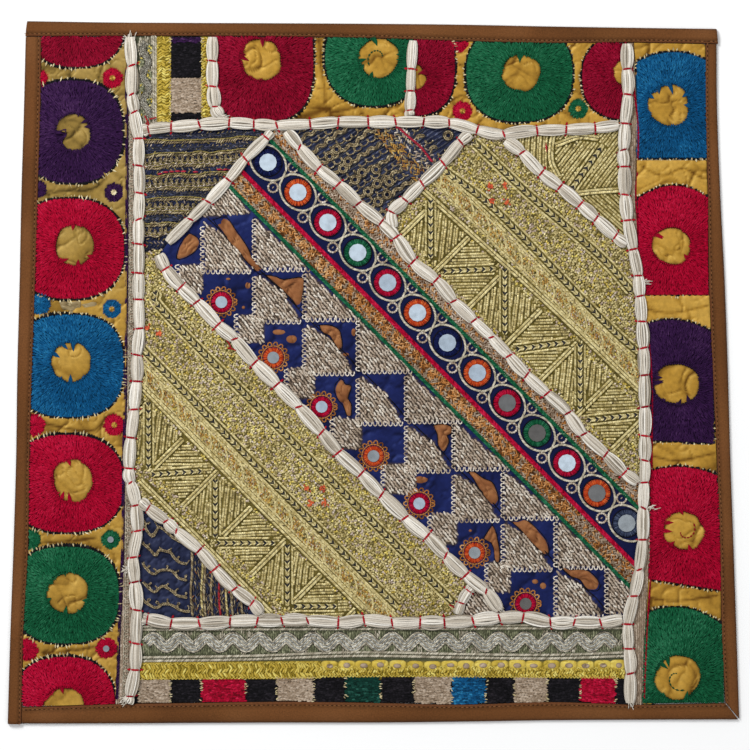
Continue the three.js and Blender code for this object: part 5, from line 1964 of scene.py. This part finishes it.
def check(stitching, box, colour, draw):
    """A block of fine level stitches, with a few pale ones along its upright edges."""
    flat_rows(stitching, box, 0.0, colour, draw, 0.85, 2.0, 1.2, CHECK_MIDDLES.get(colour, 0.45))
    (left, bottom), (right, top) = box[0], box[2]
    for x in (left, right):
        points = np.stack([draw.normal(x, 0.3, 5), draw.uniform(bottom, top, 5)], axis=1)
        stitching.lay(points, draw.normal(0, 0.4, 5), 1.5, 0.6, 0.4, shades("cream", 5, draw, 0.3),
                      SHEET_TOP + 0.5)


def bottom_band():
    draw = dice("bottom band")
    stitching = Stitching(outline_of("panel_bottom_band"))
    for level in (-144.6, -146.4):
        couched(stitching, [(-134, level), (146, level + 1)], 1.3, "lace", draw, middle=0.6)
    lace_field(stitching, box_outline(-134, -160, 146, -147.5), draw)
    for level in (-160.2, -162.2):
        path = [(-134, level - 2), (-70, level - 1), (-10, level + 1), (50, level), (100, level - 0.5),
                (146, level + 1)]
        couched(stitching, smooth(path, 8), 1.4, "lace", draw, 1, lift=0.2, middle=0.65)
    couched(stitching, [(-134, -165.6), (-30, -164.8)], 1.2, "yellow", draw, 1, middle=0.3)
    yellow_band(stitching, [(-134, -170.2), (-30, -169.4)], 8.4, draw)
    yellow_band(stitching, [(-32, -170.3), (20, -170), (145, -171)], 4.9, draw)
    pillows = []
    for x in np.arange(*PILLOWS["x"]):
        middle = np.array((x, PILLOWS["y"])) + draw.normal(0, 0.2, 2)
        pillows.append(dome(superellipse(middle, (5.0, 3.0), 4, 20), 0.7, "yellow", draw, 6))
        blob = superellipse(middle + draw.normal(0, 0.3, 2), draw.uniform((1.6, 1.1), (2.3, 1.6)), 2.2, 14)
        pillows.append(dome(blob, 0.4, "beige", draw, 4, SHEET_TOP + 0.75))
    make_mounds("cloth_yellow_patches", pillows)
    left = CHECKS_LEFT
    for colour, right in BOTTOM_CHECKS:
        head = LOW_CHECKS["head"] if right < LOW_CHECKS["right"] else CHECKS_HEAD
        box = box_outline(left + 0.2, CHECKS_FOOT, right - 0.2, head)
        check(stitching, box, colour, draw)
        left = right
    stitching.build("stitches_bottom_band", COTTON, "check_embroidery")


def top_checks():
    draw = dice("top checks")
    stitching = Stitching(outline_of("panel_top_checks"))
    flat_rows(stitching, box_outline(-134, 139, -123.3, 191), math.pi / 2, "lace", draw, 1.1, 2.0, 1.1, 0.5)
    for number, y in enumerate(np.arange(183.8, 145, -7.35)):
        oval = superellipse((-127.4 if number % 2 == 0 else -132, y), (1.5, 3.0), 2, 16)
        cover(stitching, oval)
        speckle(stitching, oval, draw, (("sage", 0.75), ("yellow", 0.25)), 0.0, 1.2, 1.0, 1.6, 1.1, 0.6)
    for x in (-125.2, -123.9):
        couched(stitching, [(x, 191), (x, 138)], 1.2, "lace", draw, 1, lift=0.2, middle=0.65)
    yellow_band(stitching, [(-119.3, 139), (-119.3, 191)], 7.0, draw)
    yellow_band(stitching, [(-94.8, 139), (-94.8, 191)], 4.8, draw)
    for colour, top, bottom in TOP_CHECKS:
        box = box_outline(-115.6, bottom + 0.2, -97.4, top - 0.2)
        check(stitching, box, colour, draw)
    stitching.build("stitches_top_checks", COTTON, "check_embroidery")


bottom_band()
top_checks()


# Selvedge strips

PURPLE_LINE = [(-140.6, 190), (-140.3, 100), (-141, 0), (-142.2, -50), (-142.8, -100), (-144.8, -150),
               (-146, -186)]
CRIMSON_EDGE = [(146.8, 175), (148.6, 158), (150.6, 139), (150.2, 115), (149.4, 98), (152.8, 50), (158.2, 0),
                (158.3, -50), (158.3, -100), (155.5, -150), (154, -186)]


def selvedges():
    draw = dice("selvedges")
    left = Stitching(outline_of("panel_left_selvedge"))
    flat_rows(left, left.limits, math.pi / 2, "pinkish", draw, 1.3, 2.2, 1.1, 0.45)
    line = curls(smooth([(-137.8, 190), (-138, 0), (-140, -100), (-141.5, -188)], 20), 1.3, 2.8)
    left.along(line, 0.7, 0.6, shades("lace", len(line) - 1, draw, 0.55), SHEET_TOP + 0.3)
    left.build("stitches_left_selvedge", COTTON, "selvedge_cloth")
    edge = Stitching()
    couched(edge, smooth(PURPLE_LINE, 20), 1.1, "purple", draw, 2, 0.8, 0.4, middle=0.3)
    edge.build("purple_line", SILK, "mustard_cloth")
    edge = Stitching()
    couched(edge, smooth(CRIMSON_EDGE, 20), 1.1, "crimson", draw, lift=0.4, middle=0.2)
    edge.build("crimson_line", SILK, "mustard_cloth")
    right = Stitching(outline_of("panel_right_selvedge"))
    flat_rows(right, right.limits, math.pi / 2, "beige", draw, 1.2, 2.6, 1.0, 0.6)
    right.build("stitches_right_selvedge", COTTON, "selvedge_cloth")


selvedges()


# Braids

def braid(name, start, end, amplitude, period, width):
    """A wavy metal-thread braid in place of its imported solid, with a dark line at each edge."""
    draw = dice(name)
    stitching = Stitching()
    line = waves([start, end], amplitude, period, 16)
    for number, side in enumerate(np.linspace(-1, 1, 7)):
        path = offset(line, side * width * 0.42)
        stitching.twist(path, width * 0.17, ("lace", "braid")[number % 2], draw,
                        SHEET_TOP + 0.4 - abs(side) * 0.1, 0.8, 0.5 if number % 2 else -0.5, 0.9, 0.58, 0.3)
    for side in (-1, 1):
        dark_line(stitching, offset(line, side * width * 0.52), draw, 0.6)
    piece = stitching.build("stitches_" + name, METAL_THREAD, "metal_braid")
    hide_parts(name)


braid("braid_bottom", (-129, -153.6), (138, -153.2), 2.6, 15.1, 6.6)
braid("braid_top", (-129.7, 187.5), (-129.2, 145), -1.7, 14.7, 3.6)
